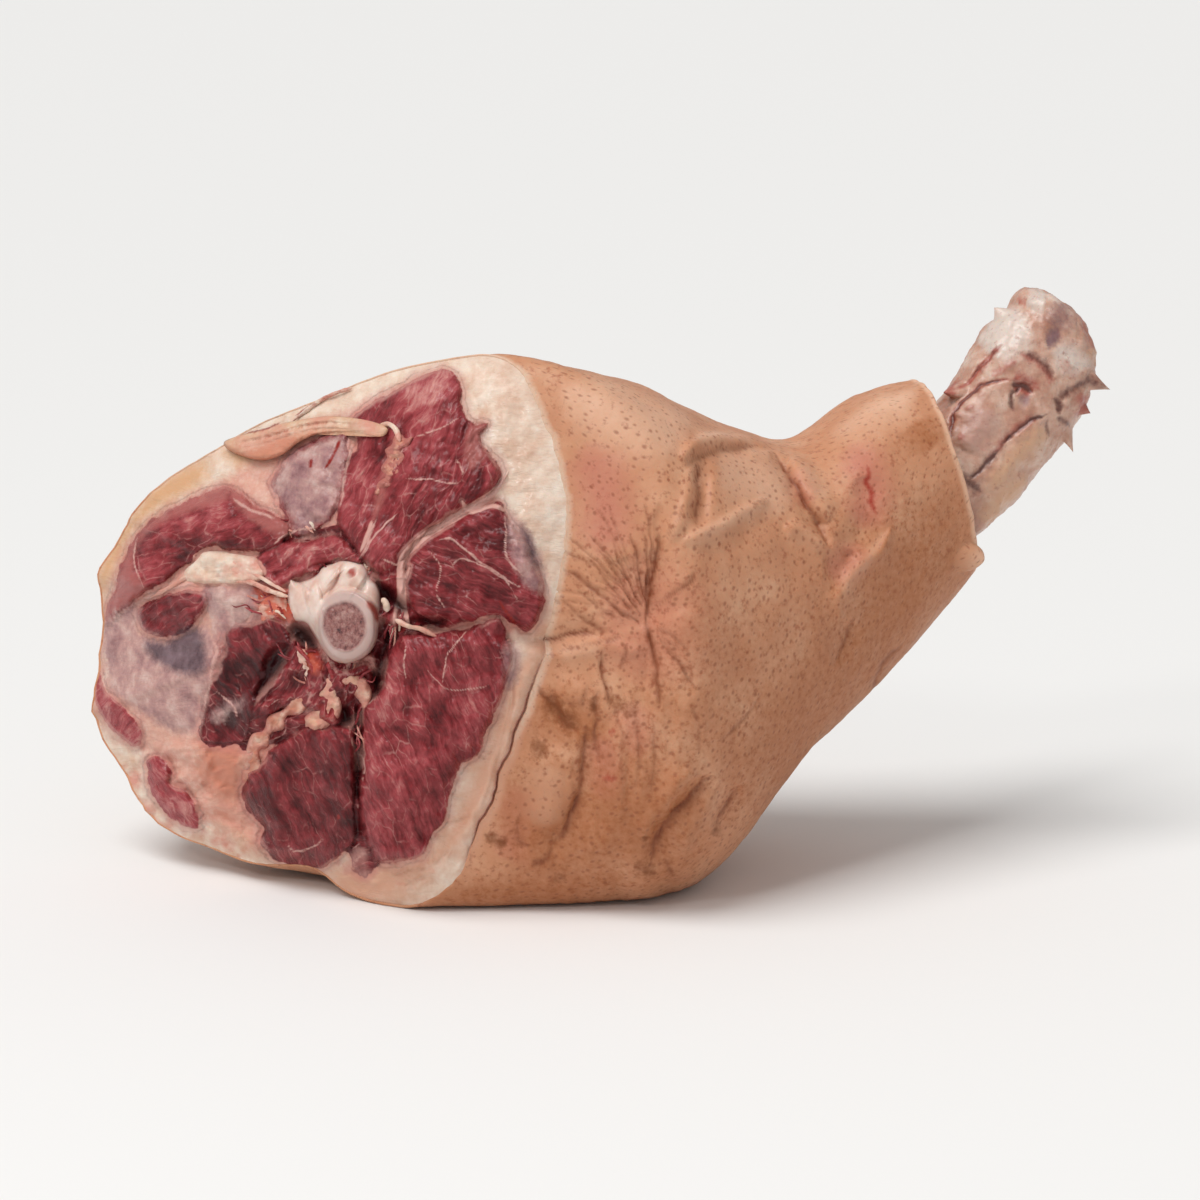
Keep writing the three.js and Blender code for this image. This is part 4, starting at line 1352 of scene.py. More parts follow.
# %% All that is seen on the cut face
def cut_fields(places):
    """Relief in millimetres, the material's attributes and the fibre map of places on the cut face."""
    values, rise = blank(len(places)), np.zeros(len(places))
    wander = 1.4 * flat_hills(places, 9, 3, seed=7)
    wobble = shaken(places, 16, 3, (8, 9), 2.0)
    whole, grain = lay_muscles(places, values, rise, wander, wobble)
    lay_seams(places, values, rise, wobble)
    for key, outlines in AREAS.items():
        for corners in outlines:
            raise_to(values, key, depth_in(places, corners))
    on_lean = roughen_lean(places, values, rise, grain)
    roughen_fat(places, values, rise, 1 - on_lean, wobble)
    rise += 1.5 * smooth(values["silver"], 0, 5) + 3.0 * smooth(values["cartilage"], -1, 5)
    # the hollows that get painted shade are carved up to 8 mm deep
    rise -= 8.0 * smooth(values["dark"], -3.0, 4.0)
    rise -= 3.0 * smooth(depth_in(places, MUSCLES[DEEP_MUSCLE][-1]), 0, 10)
    roughen_core(places, values, rise, whole, wobble)
    moved = places + wobble * 1.2
    for key, lines in LINES.items():
        for half, height, path in lines:
            raise_to(values, key, stroke(moved, path, half))
            rise += height * stroke(moved, path, 1.5 * half)
    for shade, half, path in TONES:
        values["tone"] += shade * stroke(moved, path, half)
    for half, depth, path in FAT_CREASES:
        rise -= depth * stroke(places, path, half)
    lean, cartilage = values["lean"], values["cartilage"]
    lean[:] = np.where(cartilage > -1, np.minimum(lean, -cartilage), lean)
    values["rim"] = bell(lean - 0.7, 0.9) * smooth(flat_hills(places, 20, 2, seed=15), -0.3, 0.3)
    values["tone"] = values["tone"] + 0.05 * flat_hills(places, 18, 2, seed=8)
    return rise, values, grain


# %% [markdown]
# The lean ends at its outline and the fat goes on from it to the rim, so the two are separate pieces that
# share one edge. A Boolean modifier could split one face in two, with ragged triangles along the cut. Here,
# for each direction from the face's middle, a row of steps is tried to find where the outline is crossed,
# and rings meet there.

# %% Sizes of the cut face
FACE_MIDDLE = np.array([-137.0, -56.0, 150.0])
FACE_BULGE = 40
FACE_AROUND = 720
LEAN_ROWS = 124
FAT_ROWS = 44
UNDER_RIND = 0.3                    # how far inside the rind's surface the fat ends at the rim
# The groove beside the roll of fat, and the roll behind it, in millimetres.
GROOVE_IN = 1.6
GROOVE_HALF = 1.3
GROOVE_DEPTH = 2.4
ROLL_HEIGHT = 3
ROLL_IN = 4 * GROOVE_IN
ROLL_HALF = 4
TRIES = 70
face_angles = 2 * np.pi * np.arange(FACE_AROUND) / FACE_AROUND
rim_place, _ = rind_surface(np.zeros(FACE_AROUND), face_angles)
rim_line = rim_place + UNDER_RIND * unit(leg_start - rim_place)


# %% Where the lean ends and the fat goes on
def face_base(share):
    """From the middle a share of the way to the rim, then towards the eye by bulge * share * (1 - share)."""
    points = FACE_MIDDLE + (rim_line - FACE_MIDDLE) * share[..., None]
    return lifted(points, FACE_BULGE * share * (1 - share))


tries = np.linspace(0.3, 0.975, TRIES)
trial = face_base(tries[:, None] * np.ones(FACE_AROUND))
inside = depth_in(seen(trial.reshape(-1, 3)), LEAN_EDGE).reshape(TRIES, FACE_AROUND) > 0
lean_share = tries[np.where(inside.any(0), TRIES - 1 - np.argmax(inside[::-1], 0), 0)]
for _ in range(3):
    lean_share = (np.roll(lean_share, 1) + 2 * lean_share + np.roll(lean_share, -1)) / 4
print(f"lean reaches {lean_share.min():.2f} to {lean_share.max():.2f} of the way to the rim")


def face_rows(shares):
    """Rings of the face at the given shares of the way, with the picture's relief, which fades at the rim."""
    base = face_base(shares).reshape(-1, 3)
    rise, values, grain = cut_fields(seen(base))
    gap = ((1 - shares) * np.linalg.norm(rim_line - FACE_MIDDLE, axis=-1)).ravel()
    lip = np.broadcast_to(bells(face_angles, LIP), shares.shape).ravel()
    groove = lip * bell(gap - GROOVE_IN, GROOVE_HALF)
    raise_to(values, "rosy", 7 * groove - 4)
    rise = rise * np.clip((1 - shares.ravel()) * 14, 0, 1) - GROOVE_DEPTH * groove
    rise += ROLL_HEIGHT * lip * bell(gap - ROLL_IN, ROLL_HALF)
    return rested(lifted(base, rise)).reshape(*shares.shape, 3), values, grain


def with_hidden(value, rows, before, after):
    """A value of the visible rows, repeated over hidden rows before and after them, and at both poles."""
    grid = value.reshape(rows, FACE_AROUND, -1)
    whole = np.concatenate([np.repeat(grid[:1], before, 0), grid, np.repeat(grid[-1:], after, 0)])
    flat = whole.reshape(-1, grid.shape[-1])
    return np.vstack([flat, flat[:1], flat[-1:]]).squeeze()


# %% Lean and fat
# Hidden walls that both pieces share: how far towards the middle, and millimetres behind the face.
WALLS = ((0.06, 5), (0.24, 16))
# Hidden rings that close the fat inside the rind: how far along the leg, and how many millimetres further in.
FAT_RINGS = ((0.012, 11.0), (0.05, 24.0))
LEAN_BACK = 40                      # how far behind the face each piece's hidden pole is, in millimetres
FAT_BACK = 70
steps = np.linspace(0.012, 1, LEAN_ROWS) ** 0.9
lean_rows, lean_values, lean_grain = face_rows(steps[:, None] * lean_share)
steps = np.linspace(0, 1, FAT_ROWS)[:, None]
fat_rows, fat_values, fat_grain = face_rows(lean_share + (1 - lean_share) * steps)

print("rows of lean and fat:", lean_rows.shape[0], fat_rows.shape[0])

# %% [markdown]
# Smooth shading averages the faces at each vertex, and at the shared edge each piece knows only its own
# side of it, which would show as a line. So both take their normals from one grid over the whole face.

# %% Normals for both pieces
whole_face = np.concatenate([lean_rows, fat_rows[1:]])
across = np.roll(whole_face, -1, 1) - np.roll(whole_face, 1, 1)
normals = unit(np.cross(across, np.gradient(whole_face, axis=0)))
normals *= np.sign((normals * (EYE - whole_face)).sum(-1).mean())


def with_none(normals, before, after):
    """Normals of the visible rows, with 0 for the hidden rows before and after them and for both poles."""
    blank_rows = [np.zeros((count * FACE_AROUND, 3)) for count in (before, after)]
    return np.vstack([blank_rows[0], normals.reshape(-1, 3), blank_rows[1], np.zeros((2, 3))])


# %% The two pieces
under = [
    lifted(lean_rows[-1] + (FACE_MIDDLE - lean_rows[-1]) * inward, np.full(FACE_AROUND, -back))
    for inward, back in WALLS
]
lean_back, fat_back = (lifted(FACE_MIDDLE[None], np.array([-back])) for back in (LEAN_BACK, FAT_BACK))
lean_body = closed(lean_rows[0].mean(0)[None], np.concatenate([lean_rows, under]), lean_back)
hidden = np.zeros(len(lean_body[0]), bool)
hidden[LEAN_ROWS * FACE_AROUND : -2] = True
hidden[-1] = True
make(
    "cut_lean", [lean_body], cut_meat, ["lean"],
    {key: with_hidden(value, LEAN_ROWS, 0, 2) for key, value in lean_values.items()},
    with_hidden(lean_grain, LEAN_ROWS, 0, 2), hidden, with_none(normals[:LEAN_ROWS], 0, 2),
)

fat_under = [rested(leg_point(np.full(FACE_AROUND, share), face_angles, inset)) for share, inset in FAT_RINGS]
fat_body = closed(
    fat_back, np.concatenate([under[::-1], fat_rows, fat_under]), through(MIDDLES, np.array([0.12])),
)
hidden = np.ones(len(fat_body[0]), bool)
hidden[2 * FACE_AROUND : (2 + FAT_ROWS) * FACE_AROUND] = False
make(
    "cut_fat", [fat_body], cut_meat, ["rind_and_fat"],
    {key: with_hidden(value, FAT_ROWS, 2, 2) for key, value in fat_values.items()},
    with_hidden(fat_grain, FAT_ROWS, 2, 2), hidden, with_none(normals[LEAN_ROWS - 1 :], 2, 2),
)

# %% [markdown]
# ## Mounds and strands
# The bone, the flap of fat and the scraps stand on the cut face. A mound fills an outline in the picture,
# and its height over the face is worked out from how deep inside the outline a point is. A strand is a
# tapering tube along a path. Both dip under the face at their edges, so that they look grown on. To set
# them on the face, its depth is needed at any place in the picture. Rays could be cast at the mesh, but a
# map of the depth is quicker.

# %% Map of the face's depth
CELL = 5                            # pixels of a cell in the map
CELLS = 240                         # along each side of the picture
SPREADS = 12                        # how many cells the map grows past the face


def round_about(grid):
    """Sum of each cell's four neighbours."""
    return sum(np.roll(grid, step, axis) for step in (-1, 1) for axis in (0, 1))


def depth_map():
    """Mean depth of the bare face along the view in each cell of the picture, spread into the empty cells."""
    points = face_base(np.linspace(0.01, 1, 160)[:, None] * np.ones(FACE_AROUND)).reshape(-1, 3)
    column, row = (seen(points) / CELL).astype(int).T
    total, count = np.zeros((CELLS, CELLS)), np.zeros((CELLS, CELLS))
    np.add.at(total, (row, column), (points - EYE) @ FORWARD)
    np.add.at(count, (row, column), 1)
    for _ in range(SPREADS):
        empty = count == 0
        total[empty], count[empty] = round_about(total)[empty], round_about(count)[empty]
    return total / np.maximum(count, 1)


FACE_DEPTH = depth_map()


def on_face(places):
    """Points of the bare face seen at these places: the ray through each, to the map's depth there."""
    spot = places / CELL - 0.5
    cell = np.clip(np.floor(spot).astype(int), 0, CELLS - 2)
    x, y = (spot - cell).T
    i, j = cell[:, 1], cell[:, 0]
    upper = FACE_DEPTH[i, j] * (1 - x) + FACE_DEPTH[i, j + 1] * x
    lower = FACE_DEPTH[i + 1, j] * (1 - x) + FACE_DEPTH[i + 1, j + 1] * x
    depth = (upper * (1 - y) + lower * y)[:, None]
    right, up = ((places - PICTURE_MIDDLE) * [1, -1] * PIXEL / EYE_FAR).T
    return EYE + depth * (FORWARD + right[:, None] * [1, 0, 0] + up[:, None] * UPWARD)


print("the face is nearest to the eye at", FACE_DEPTH[FACE_DEPTH > 0].min().round(), "mm")


# %% Mounds
def mound(corners, height, rows, columns, sink=5.0):
    """A closed body over an outline, its places in the picture, and its depths inside the outline."""
    ring = outline(np.array(corners, float))
    length = np.append(0, np.cumsum(np.hypot(*np.diff(ring, axis=0).T)))
    even = np.linspace(0, length[-1], columns, endpoint=False)
    edge = np.column_stack([np.interp(even, length, ring[:, i]) for i in (0, 1)])
    middle = edge.mean(0)
    steps = np.linspace(0.02, 1, rows)[:, None, None] ** 0.8
    places = (middle + (edge - middle) * steps).reshape(-1, 2)
    depth = depth_in(places, corners)
    front = lifted(on_face(places), height(places, depth)).reshape(rows, columns, 3)
    under = lifted(on_face((middle + (edge - middle) * 0.93).reshape(-1, 2)), np.full(columns, -sink))
    back = lifted(on_face(middle[None]), np.array([-sink - 3]))
    body = closed(front[0].mean(0)[None], np.concatenate([front, under[None]]), back)
    places = np.vstack([places, edge, middle, middle])
    depth = np.concatenate([depth, np.full(columns, -sink), [depth.max(), -sink]])
    return body, places, depth


def lump(height, rounding, size, seed):
    """Height of a rounded lump with hills of a size in millimetres."""
    def over_face(places, depth):
        return -1.5 + height * (dome(depth, rounding) + 0.3 * flat_hills(places, size, 3, seed))
    return over_face


print("a lump's height 2 mm inside its edge:", lump(6, 4, 6, 0)(np.zeros((1, 2)), np.array([2.0])).round(2))


# %% Strands
def strand(path, half, rise, thick=None, seed=0):
    """A closed tapering tube along a path in the picture, at a rise over the face."""
    steps = np.linspace(0, 1, 14 * len(path))
    rises = np.atleast_1d(rise)
    centre = lifted(on_face(through(path, steps)), np.interp(steps, np.linspace(0, 1, len(rises)), rises))
    along = unit(np.gradient(centre, axis=0))
    front = unit(EYE - centre)
    side = unit(np.cross(along, front))
    taper = np.sqrt(np.clip(7 * np.minimum(steps, 1 - steps), 0.02, 1))
    size = taper * (1 + 0.25 * hills(centre, 6, 2, seed))
    turn = np.linspace(0, 2 * np.pi, 16, endpoint=False)[:, None]
    rows = centre[:, None] + (half * size)[:, None, None] * np.cos(turn) * side[:, None]
    rows = rows + ((thick or half) * size)[:, None, None] * np.sin(turn) * front[:, None]
    knots = hills(rows.reshape(-1, 3), 4, 2, seed + 1).reshape(rows.shape[:2])
    rows += 0.25 * half * knots[..., None] * front[:, None]
    body = closed(centre[0], rows, centre[-1])
    return body, seen(body[0]), np.full(len(body[0]), 2.0)


def dressed(name, parts, stands_for):
    """One piece of cut meat from mounds and strands, each with its body and a function for its attributes."""
    values = []
    for (_, places, depth), change in parts:
        mine = blank(len(places))
        for key, value in change(places, depth).items():
            mine[key] = np.broadcast_to(value, len(places))
        values.append(mine)
    joined = {key: np.concatenate([mine[key] for mine in values]) for key in values[0]}
    grain = np.concatenate([places for (_, places, _), _ in parts]) * PIXEL
    make(name, [body for (body, _, _), _ in parts], cut_meat, stands_for, joined, grain)


def toned(**changes):
    """Attributes that are the same all over a part."""
    return lambda places, depth: changes


def stained(seed, **changes):
    """Attributes of a part with pink stains in patches, and others that are the same all over it."""
    return lambda places, depth: {"pink": 7 * flat_hills(places, 7, 2, seed), **changes}


def bled(depth, deep=1.5):
    """Rosy at an edge, where a scrap grows out of the lean, and none inside it."""
    return deep - depth


print("points of one thread:", len(strand([(300, 600), (320, 620)], 1, 2)[1]))

# %% [markdown]
# ## Hip bone
# The saw went through the hip bone's neck. What shows is a lumpy ivory knob, and at its lower right the
# raised oval of the saw cut, a ring of hard bone round spongy marrow. The knob and the ring have grown
# together, so one mound does both: a smooth step at the saw cut's outline lifts the ring off the knob.

# %% Hip bone
BONE_EDGE = [
    (287, 594), (289, 576), (298, 581), (312, 577), (322, 567), (334, 562), (344, 559), (359, 561),
    (366, 567), (371, 577), (378, 586), (381, 602), (378, 636), (372, 650), (362, 659), (348, 664),
    (333, 661), (323, 650), (314, 635), (306, 624), (294, 620), (288, 607),
]
SAW_CUT = [
    (344, 590), (360, 594), (372, 606), (376, 624), (374, 642), (364, 656), (348, 662), (333, 658),
    (322, 645), (318, 628), (320, 608), (330, 595),
]
MARROW = [
    (345, 602), (357, 606), (365, 618), (366, 632), (360, 644), (348, 651), (335, 648), (326, 637),
    (323, 622), (328, 608),
]
BONE_LUMPS = [
    (9, 3.6, [(304, 598), (322, 594)]),
    (7, 2.6, [(352, 574), (364, 582)]),
    (5, 2.2, [(334, 572), (338, 576)]),
]
BONE_CRACKS = [
    (1.6, 2.4, [(341, 562), (337, 580), (326, 598), (318, 612)]),
    (1.2, 1.2, [(306, 582), (310, 594), (306, 606)]),
    (1.4, 1.2, [(366, 580), (362, 592)]),
]

# Stains of blood: strength, half width, and path.
BONE_STAINS = [
    (1, 2.2, [(366, 600), (374, 610), (380, 624)]),
    (0.8, 3, [(349, 569), (355, 577)]),
    (0.6, 1, [(341, 562), (337, 580), (326, 598)]),
]


def bone_height(places, depth):
    """Millimetres over the face: a dome, the saw cut's step on it, lumps and cracks."""
    height = -4 + 13 * dome(depth, 9) + 9 * smooth(depth_in(places, SAW_CUT), -2.2, 1.6)
    for half, rise, path in BONE_LUMPS:
        height += rise * stroke(places, path, half)
    for half, deep, path in BONE_CRACKS:
        height -= deep * stroke(places, path, half)
    spongy = smooth(depth_in(places, MARROW), -0.2, 1.2)
    height -= spongy * (0.9 + 0.35 * flat_hills(places, 3, 2, seed=22))
    return height + (1 - spongy) * 0.5 * flat_hills(places, 10, 2, seed=21)


bone_body, bone_places, bone_depth = mound(BONE_EDGE, bone_height, 90, 220, 12.0)
bone_values = {"marrow": depth_in(bone_places, MARROW), "cut": depth_in(bone_places, SAW_CUT)}
bone_values["raw"] = 0.8 * smooth(-bone_depth, -2.0, 0.5)
for strength, half, path in BONE_STAINS:
    raise_to(bone_values, "raw", strength * stroke(bone_places, path, half))
make("sawn_bone", [bone_body], fresh_bone, ["hip_bone"], bone_values)

# %% [markdown]
# ## Flap of fat
# A flap of fat hangs over the upper edge, cream above and orange brown below; the orange brown is partly
# its own colour and partly painted shadow under the fold. It is a few thin leaves on each other, which a
# cloth simulation could fold, but a mound with two grooves along it shows the same from outside.

# %% Flap of fat
FLAP = [
    (224, 442), (241, 435), (260, 430), (280, 424), (305, 419), (331, 416), (360, 419), (380, 424),
    (388, 430), (380, 437), (354, 432), (333, 432), (315, 435), (298, 443), (284, 454), (266, 460),
    (248, 458), (230, 451),
]
# The flap's lower part is painted orange: partly its own colour, partly painted shadow under the fold.
FLAP_UNDER = [(222, 450), (256, 447), (276, 436), (300, 432), (330, 430), (300, 446), (272, 466), (240, 464)]
FLAP_CREASE = [(230, 446), (250, 441), (272, 436), (296, 428), (324, 423), (352, 424)]
NEXT_LEAF = [0, 6]                  # from one leaf of the flap to the next, in pixels
FLAP_VEIN = [(241, 434), (262, 429), (280, 423)]
EDGE_THREAD = [(293, 421), (318, 402), (336, 393), (352, 388)]
FLAP_HOOK = [(378, 428), (388, 424), (396, 430), (400, 442)]
FAT_STRING = [
    (374, 494), (376, 484), (384, 477), (381, 468), (387, 458), (385, 450), (392, 444), (392, 436),
    (401, 434), (406, 438), (413, 437), (408, 446), (402, 450), (405, 458), (399, 466), (400, 474),
    (392, 478), (391, 486), (384, 489), (380, 496),
]


def flap_height(places, depth):
    """A fold that stands off the face, thinner towards its right end, with grooves between its leaves."""
    thick = 5.5 - 3.5 * smooth(places[:, 0], 280, 385)
    lift = 7.0 * smooth(places[:, 0], 344, 364)
    layers = 1.8 * stroke(places, FLAP_CREASE, 1.1) + 1.2 * stroke(places - NEXT_LEAF, FLAP_CREASE, 1.0)
    return 1.5 + lift + thick * (0.4 + dome(depth, 3)) - layers + 1.6 * flat_hills(places, 7, 3, seed=51)


def flap_looks(places, depth):
    """Orange below, partly painted shadow under the fold, tan at the edge, red along the vein and the crease,
    and pink in patches.
    """
    veins = np.maximum(0.9 * stroke(places, FLAP_VEIN, 1.2), 0.4 * stroke(places, FLAP_CREASE, 0.9))
    under, pink = depth_in(places, FLAP_UNDER) + 1.0, 5 * flat_hills(places, 12, 2, 61) - 1.5
    return {"orange": under, "tan": 2.5 - depth, "blood": veins, "pink": pink}


def string_height(places, depth):
    """A low ridge with knots."""
    return 5.0 + 2.8 * dome(depth, 3) + 2.2 * flat_hills(places, 6, 3, 81)


def string_looks(places, depth):
    """Orange fat that bleeds into the lean at its edge and in patches."""
    rosy = np.maximum(8 * flat_hills(places, 5, 2, 82) + 0.8, bled(depth, 2.2))
    return {"orange": 4, "rosy": rosy, "pink": 5 * flat_hills(places, 6, 2, 83)}


dressed("fat_flap", [
    (mound(FLAP, flap_height, 26, 160, -3.0), flap_looks),
    (strand(EDGE_THREAD, 1.1, 2, 0.8, seed=4), stained(62, blood=0.4)),
    (strand(FLAP_HOOK, 1.4, [7, 9, 8], 0.8, seed=5), stained(63)),
    (mound(FAT_STRING, string_height, 40, 200, 2.0), string_looks),
], ["rind_and_fat"])

# %% [markdown]
# ## Cartilage
# A strip of cartilage stands between the upper left muscles, cream and firm. Sinews tie it to them and to
# the bone, and there the meat under it is torn and bright red. Mounds and strands do it, as on the flap.

# %% Cartilage
CARTILAGE = [
    (196, 560), (204, 552), (222, 551), (240, 554), (256, 557), (266, 568), (262, 580), (246, 584),
    (222, 584), (204, 584), (188, 582), (184, 572),
]
LEFT_SINEW = [(150, 598), (172, 586), (192, 574), (204, 570)]
LOWER_SINEW = [(228, 580), (250, 582), (268, 590), (288, 597)]
UPPER_SINEW = [(240, 566), (262, 578), (286, 592)]
RED_PATCH = [(258, 600), (270, 594), (286, 598), (288, 612), (276, 618), (262, 622)]
SILVER_PATCH = [(204, 590), (222, 586), (250, 588), (260, 600), (250, 618), (226, 630), (210, 622)]


def cartilage_looks(places, depth):
    """Pink in patches, and more towards the bone."""
    return {"pink": 7 * flat_hills(places, 9, 3, 64) + 5 * smooth(places[:, 0], 215, 262) - 3}


def red_looks(places, depth):
    """Pink, with embers in patches."""
    return {"pink": 2, "ember": 6 * flat_hills(places, 5, 2, 85) + 1.5}


dressed("cartilage", [
    (mound(CARTILAGE, lump(6, 3, 8, 53), 40, 160), cartilage_looks),
    (strand(LEFT_SINEW, 1.1, [0.5, 2, 3], 0.8, seed=6), stained(65)),
    (strand(LOWER_SINEW, 1.3, [3, 4, 4, 6], seed=7), stained(66, blood=0.3)),
    (strand(UPPER_SINEW, 1.0, [4, 4, 6], seed=17), stained(67)),
    (mound(RED_PATCH, lump(4, 4, 5, 54), 24, 90), red_looks),
    (mound(SILVER_PATCH, lump(3, 6, 9, 68), 26, 90), toned(silver=4)),
], ["lean"])

# %% [markdown]
# ## Torn threads
# Where muscles were pulled apart, threads of sinew and meat are left between them. Hair particles could do
# it, but a few dozen tapering strands at random places of each web are enough, and they export as they are.

# %% Torn threads
WEBS = [  # how many, middle, spread, direction in degrees, and reach, all in pixels
    (11, (306, 664), (26, 16), 60, 44),
    (8, (352, 672), (18, 8), 110, 30),
    (9, (262, 604), (20, 12), 20, 40),
    (7, (318, 556), (28, 8), 20, 40),
    (8, (392, 624), (8, 18), 100, 34),
    (6, (358, 730), (3, 18), 95, 34),
    (5, (300, 524), (24, 6), 25, 40),
    (6, (368, 566), (8, 6), 100, 30),
]
THREAD_LOOKS = [
    dict(lean=2.0, tone=0.12), dict(lean=2.0, tone=-0.02), dict(pink=3.0), dict(pink=4.0, blood=0.5), dict(),
]


def torn_threads():
    """Thin flat tapering strands at random places of the webs: red, pink or cream."""
    draw = np.random.default_rng(8)
    for count, middle, spread_out, direction, reach in WEBS:
        for _ in range(count):
            start = middle + draw.normal(size=2) * spread_out * 0.6
            turn = np.radians(direction + draw.normal(0, 24))
            step = np.array([np.cos(turn), np.sin(turn)]) * reach * draw.uniform(0.5, 1.0)
            bend = np.array([step[1], -step[0]]) * draw.uniform(-0.2, 0.2, (2, 1))
            path = start + np.array([-step / 2, bend[0] - step / 6, bend[1] + step / 6, step / 2])
            half = draw.uniform(0.3, 0.7)
            rises = [draw.uniform(low, high) for low, high in ((-0.5, 1), (0.5, 3), (0.5, 3), (-0.5, 1))]
            thread = strand(path, half, rises, 0.6 * half, int(draw.integers(90)))
            yield thread, toned(**THREAD_LOOKS[draw.integers(len(THREAD_LOOKS))])


dressed("torn_threads", list(torn_threads()), ["lean"])

# %% [markdown]
# ## Scraps
# Under the bone are torn lumps of fat and slips of red meat. They are small mounds and strands again, each
# with its own stains, and rosy at the edge where it grows out of the lean.

# %% Scraps
RIGHT_LUMP = [
    (343, 676), (352, 671), (364, 676), (372, 690), (370, 704), (364, 710), (358, 700), (348, 690),
    (340, 684),
]
MIDDLE_LUMP = [
    (318, 676), (330, 670), (339, 680), (342, 700), (340, 716), (330, 728), (316, 736), (306, 730),
    (304, 718), (312, 708), (316, 694),
]
LEFT_LUMP = [(296, 652), (306, 650), (314, 664), (320, 678), (312, 684), (302, 674)]
FAT_STRIP = [
    (243, 788), (240, 768), (246, 748), (252, 734), (264, 729), (268, 716), (284, 709), (290, 698),
    (304, 695), (310, 704), (300, 715), (288, 716), (285, 729), (272, 733), (270, 745), (260, 752),
    (262, 770), (256, 790), (249, 797),
]
RED_SLIPS = ([(296, 646), (310, 662), (315, 676)], [(328, 662), (334, 680)])
RIGHT_SINEW = [(394, 619), (408, 626), (421, 629), (437, 637)]
WHITE_BIT = [(382, 598), (386, 604), (387, 612)]


def scrap_looks(tan_size, tan_seed, pink, pink_seed):
    """Tan in patches, pink in others, and rosy at the edge."""
    return lambda places, depth: {
        "tan": 4 * flat_hills(places, tan_size, 2, tan_seed) - 1,
        "pink": pink + 6 * flat_hills(places, 7, 2, pink_seed),
        "rosy": bled(depth),
    }


def strip_looks(places, depth):
    """Warm fat, orange and pink in patches, and rosy at the edge."""
    orange, pink = 9 * flat_hills(places, 5, 2, 78) + 0.5, 8 * flat_hills(places, 7, 2, 84) + 1
    return {"warm": 1, "orange": orange, "pink": pink, "rosy": bled(depth)}


dressed("scraps", [
    (mound(RIGHT_LUMP, lump(6, 4, 6, 55), 26, 90), scrap_looks(8, 70, 1, 71)),
    (mound(MIDDLE_LUMP, lump(6, 5, 6, 56), 36, 120), scrap_looks(9, 72, 3, 73)),
    (mound(LEFT_LUMP, lump(5, 3, 5, 58), 20, 70), stained(74)),
    (mound(FAT_STRIP, lump(3.6, 2.4, 4.5, 76), 34, 200), strip_looks),
    (strand(RED_SLIPS[0], 1.2, 4, seed=11), toned(lean=2, tone=0.1, blood=0.55)),
    (strand(RED_SLIPS[1], 1.2, 4, seed=12), toned(lean=2, tone=0.1, blood=0.5)),
    (strand(RIGHT_SINEW, 1.3, [5, 8, 6, 3], seed=13), stained(79)),
    (strand(WHITE_BIT, 1.4, 5, seed=14), toned()),
], ["lean"])

# %% [markdown]
# ## Hock
# The end of the leg is stripped of its rind. Under it are the tendons, the pale heel bone between two long
# grooves, a dark hollow where the foot came off, and ragged bits of skin. Sculpting would do it, but rings
# along a bent axis keep the solid's size, and the grooves are strokes as on the rind.

# %% Hock
HOCK_SECTIONS = [
    ((154, 52, 170), 26, 22), ((185, 64, 198), 32, 29), ((211, 74, 226), 33, 29), ((232, 84, 256), 34, 29),
    ((243, 90, 274), 28, 26),
]
HOCK_LOW, HOCK_TALL = 170, 104      # where the axis starts, and how far it rises
HOCK_AXIS = unit(np.array([0.62, 0.27, 0.73]))
HOCK_END_RISE = 17                  # how far the rounded end stands off the last section
HOCK_END_SLANT = 8                  # how far the end leans towards its upper side
HOCK_AROUND = 260
HOCK_ALONG = 190
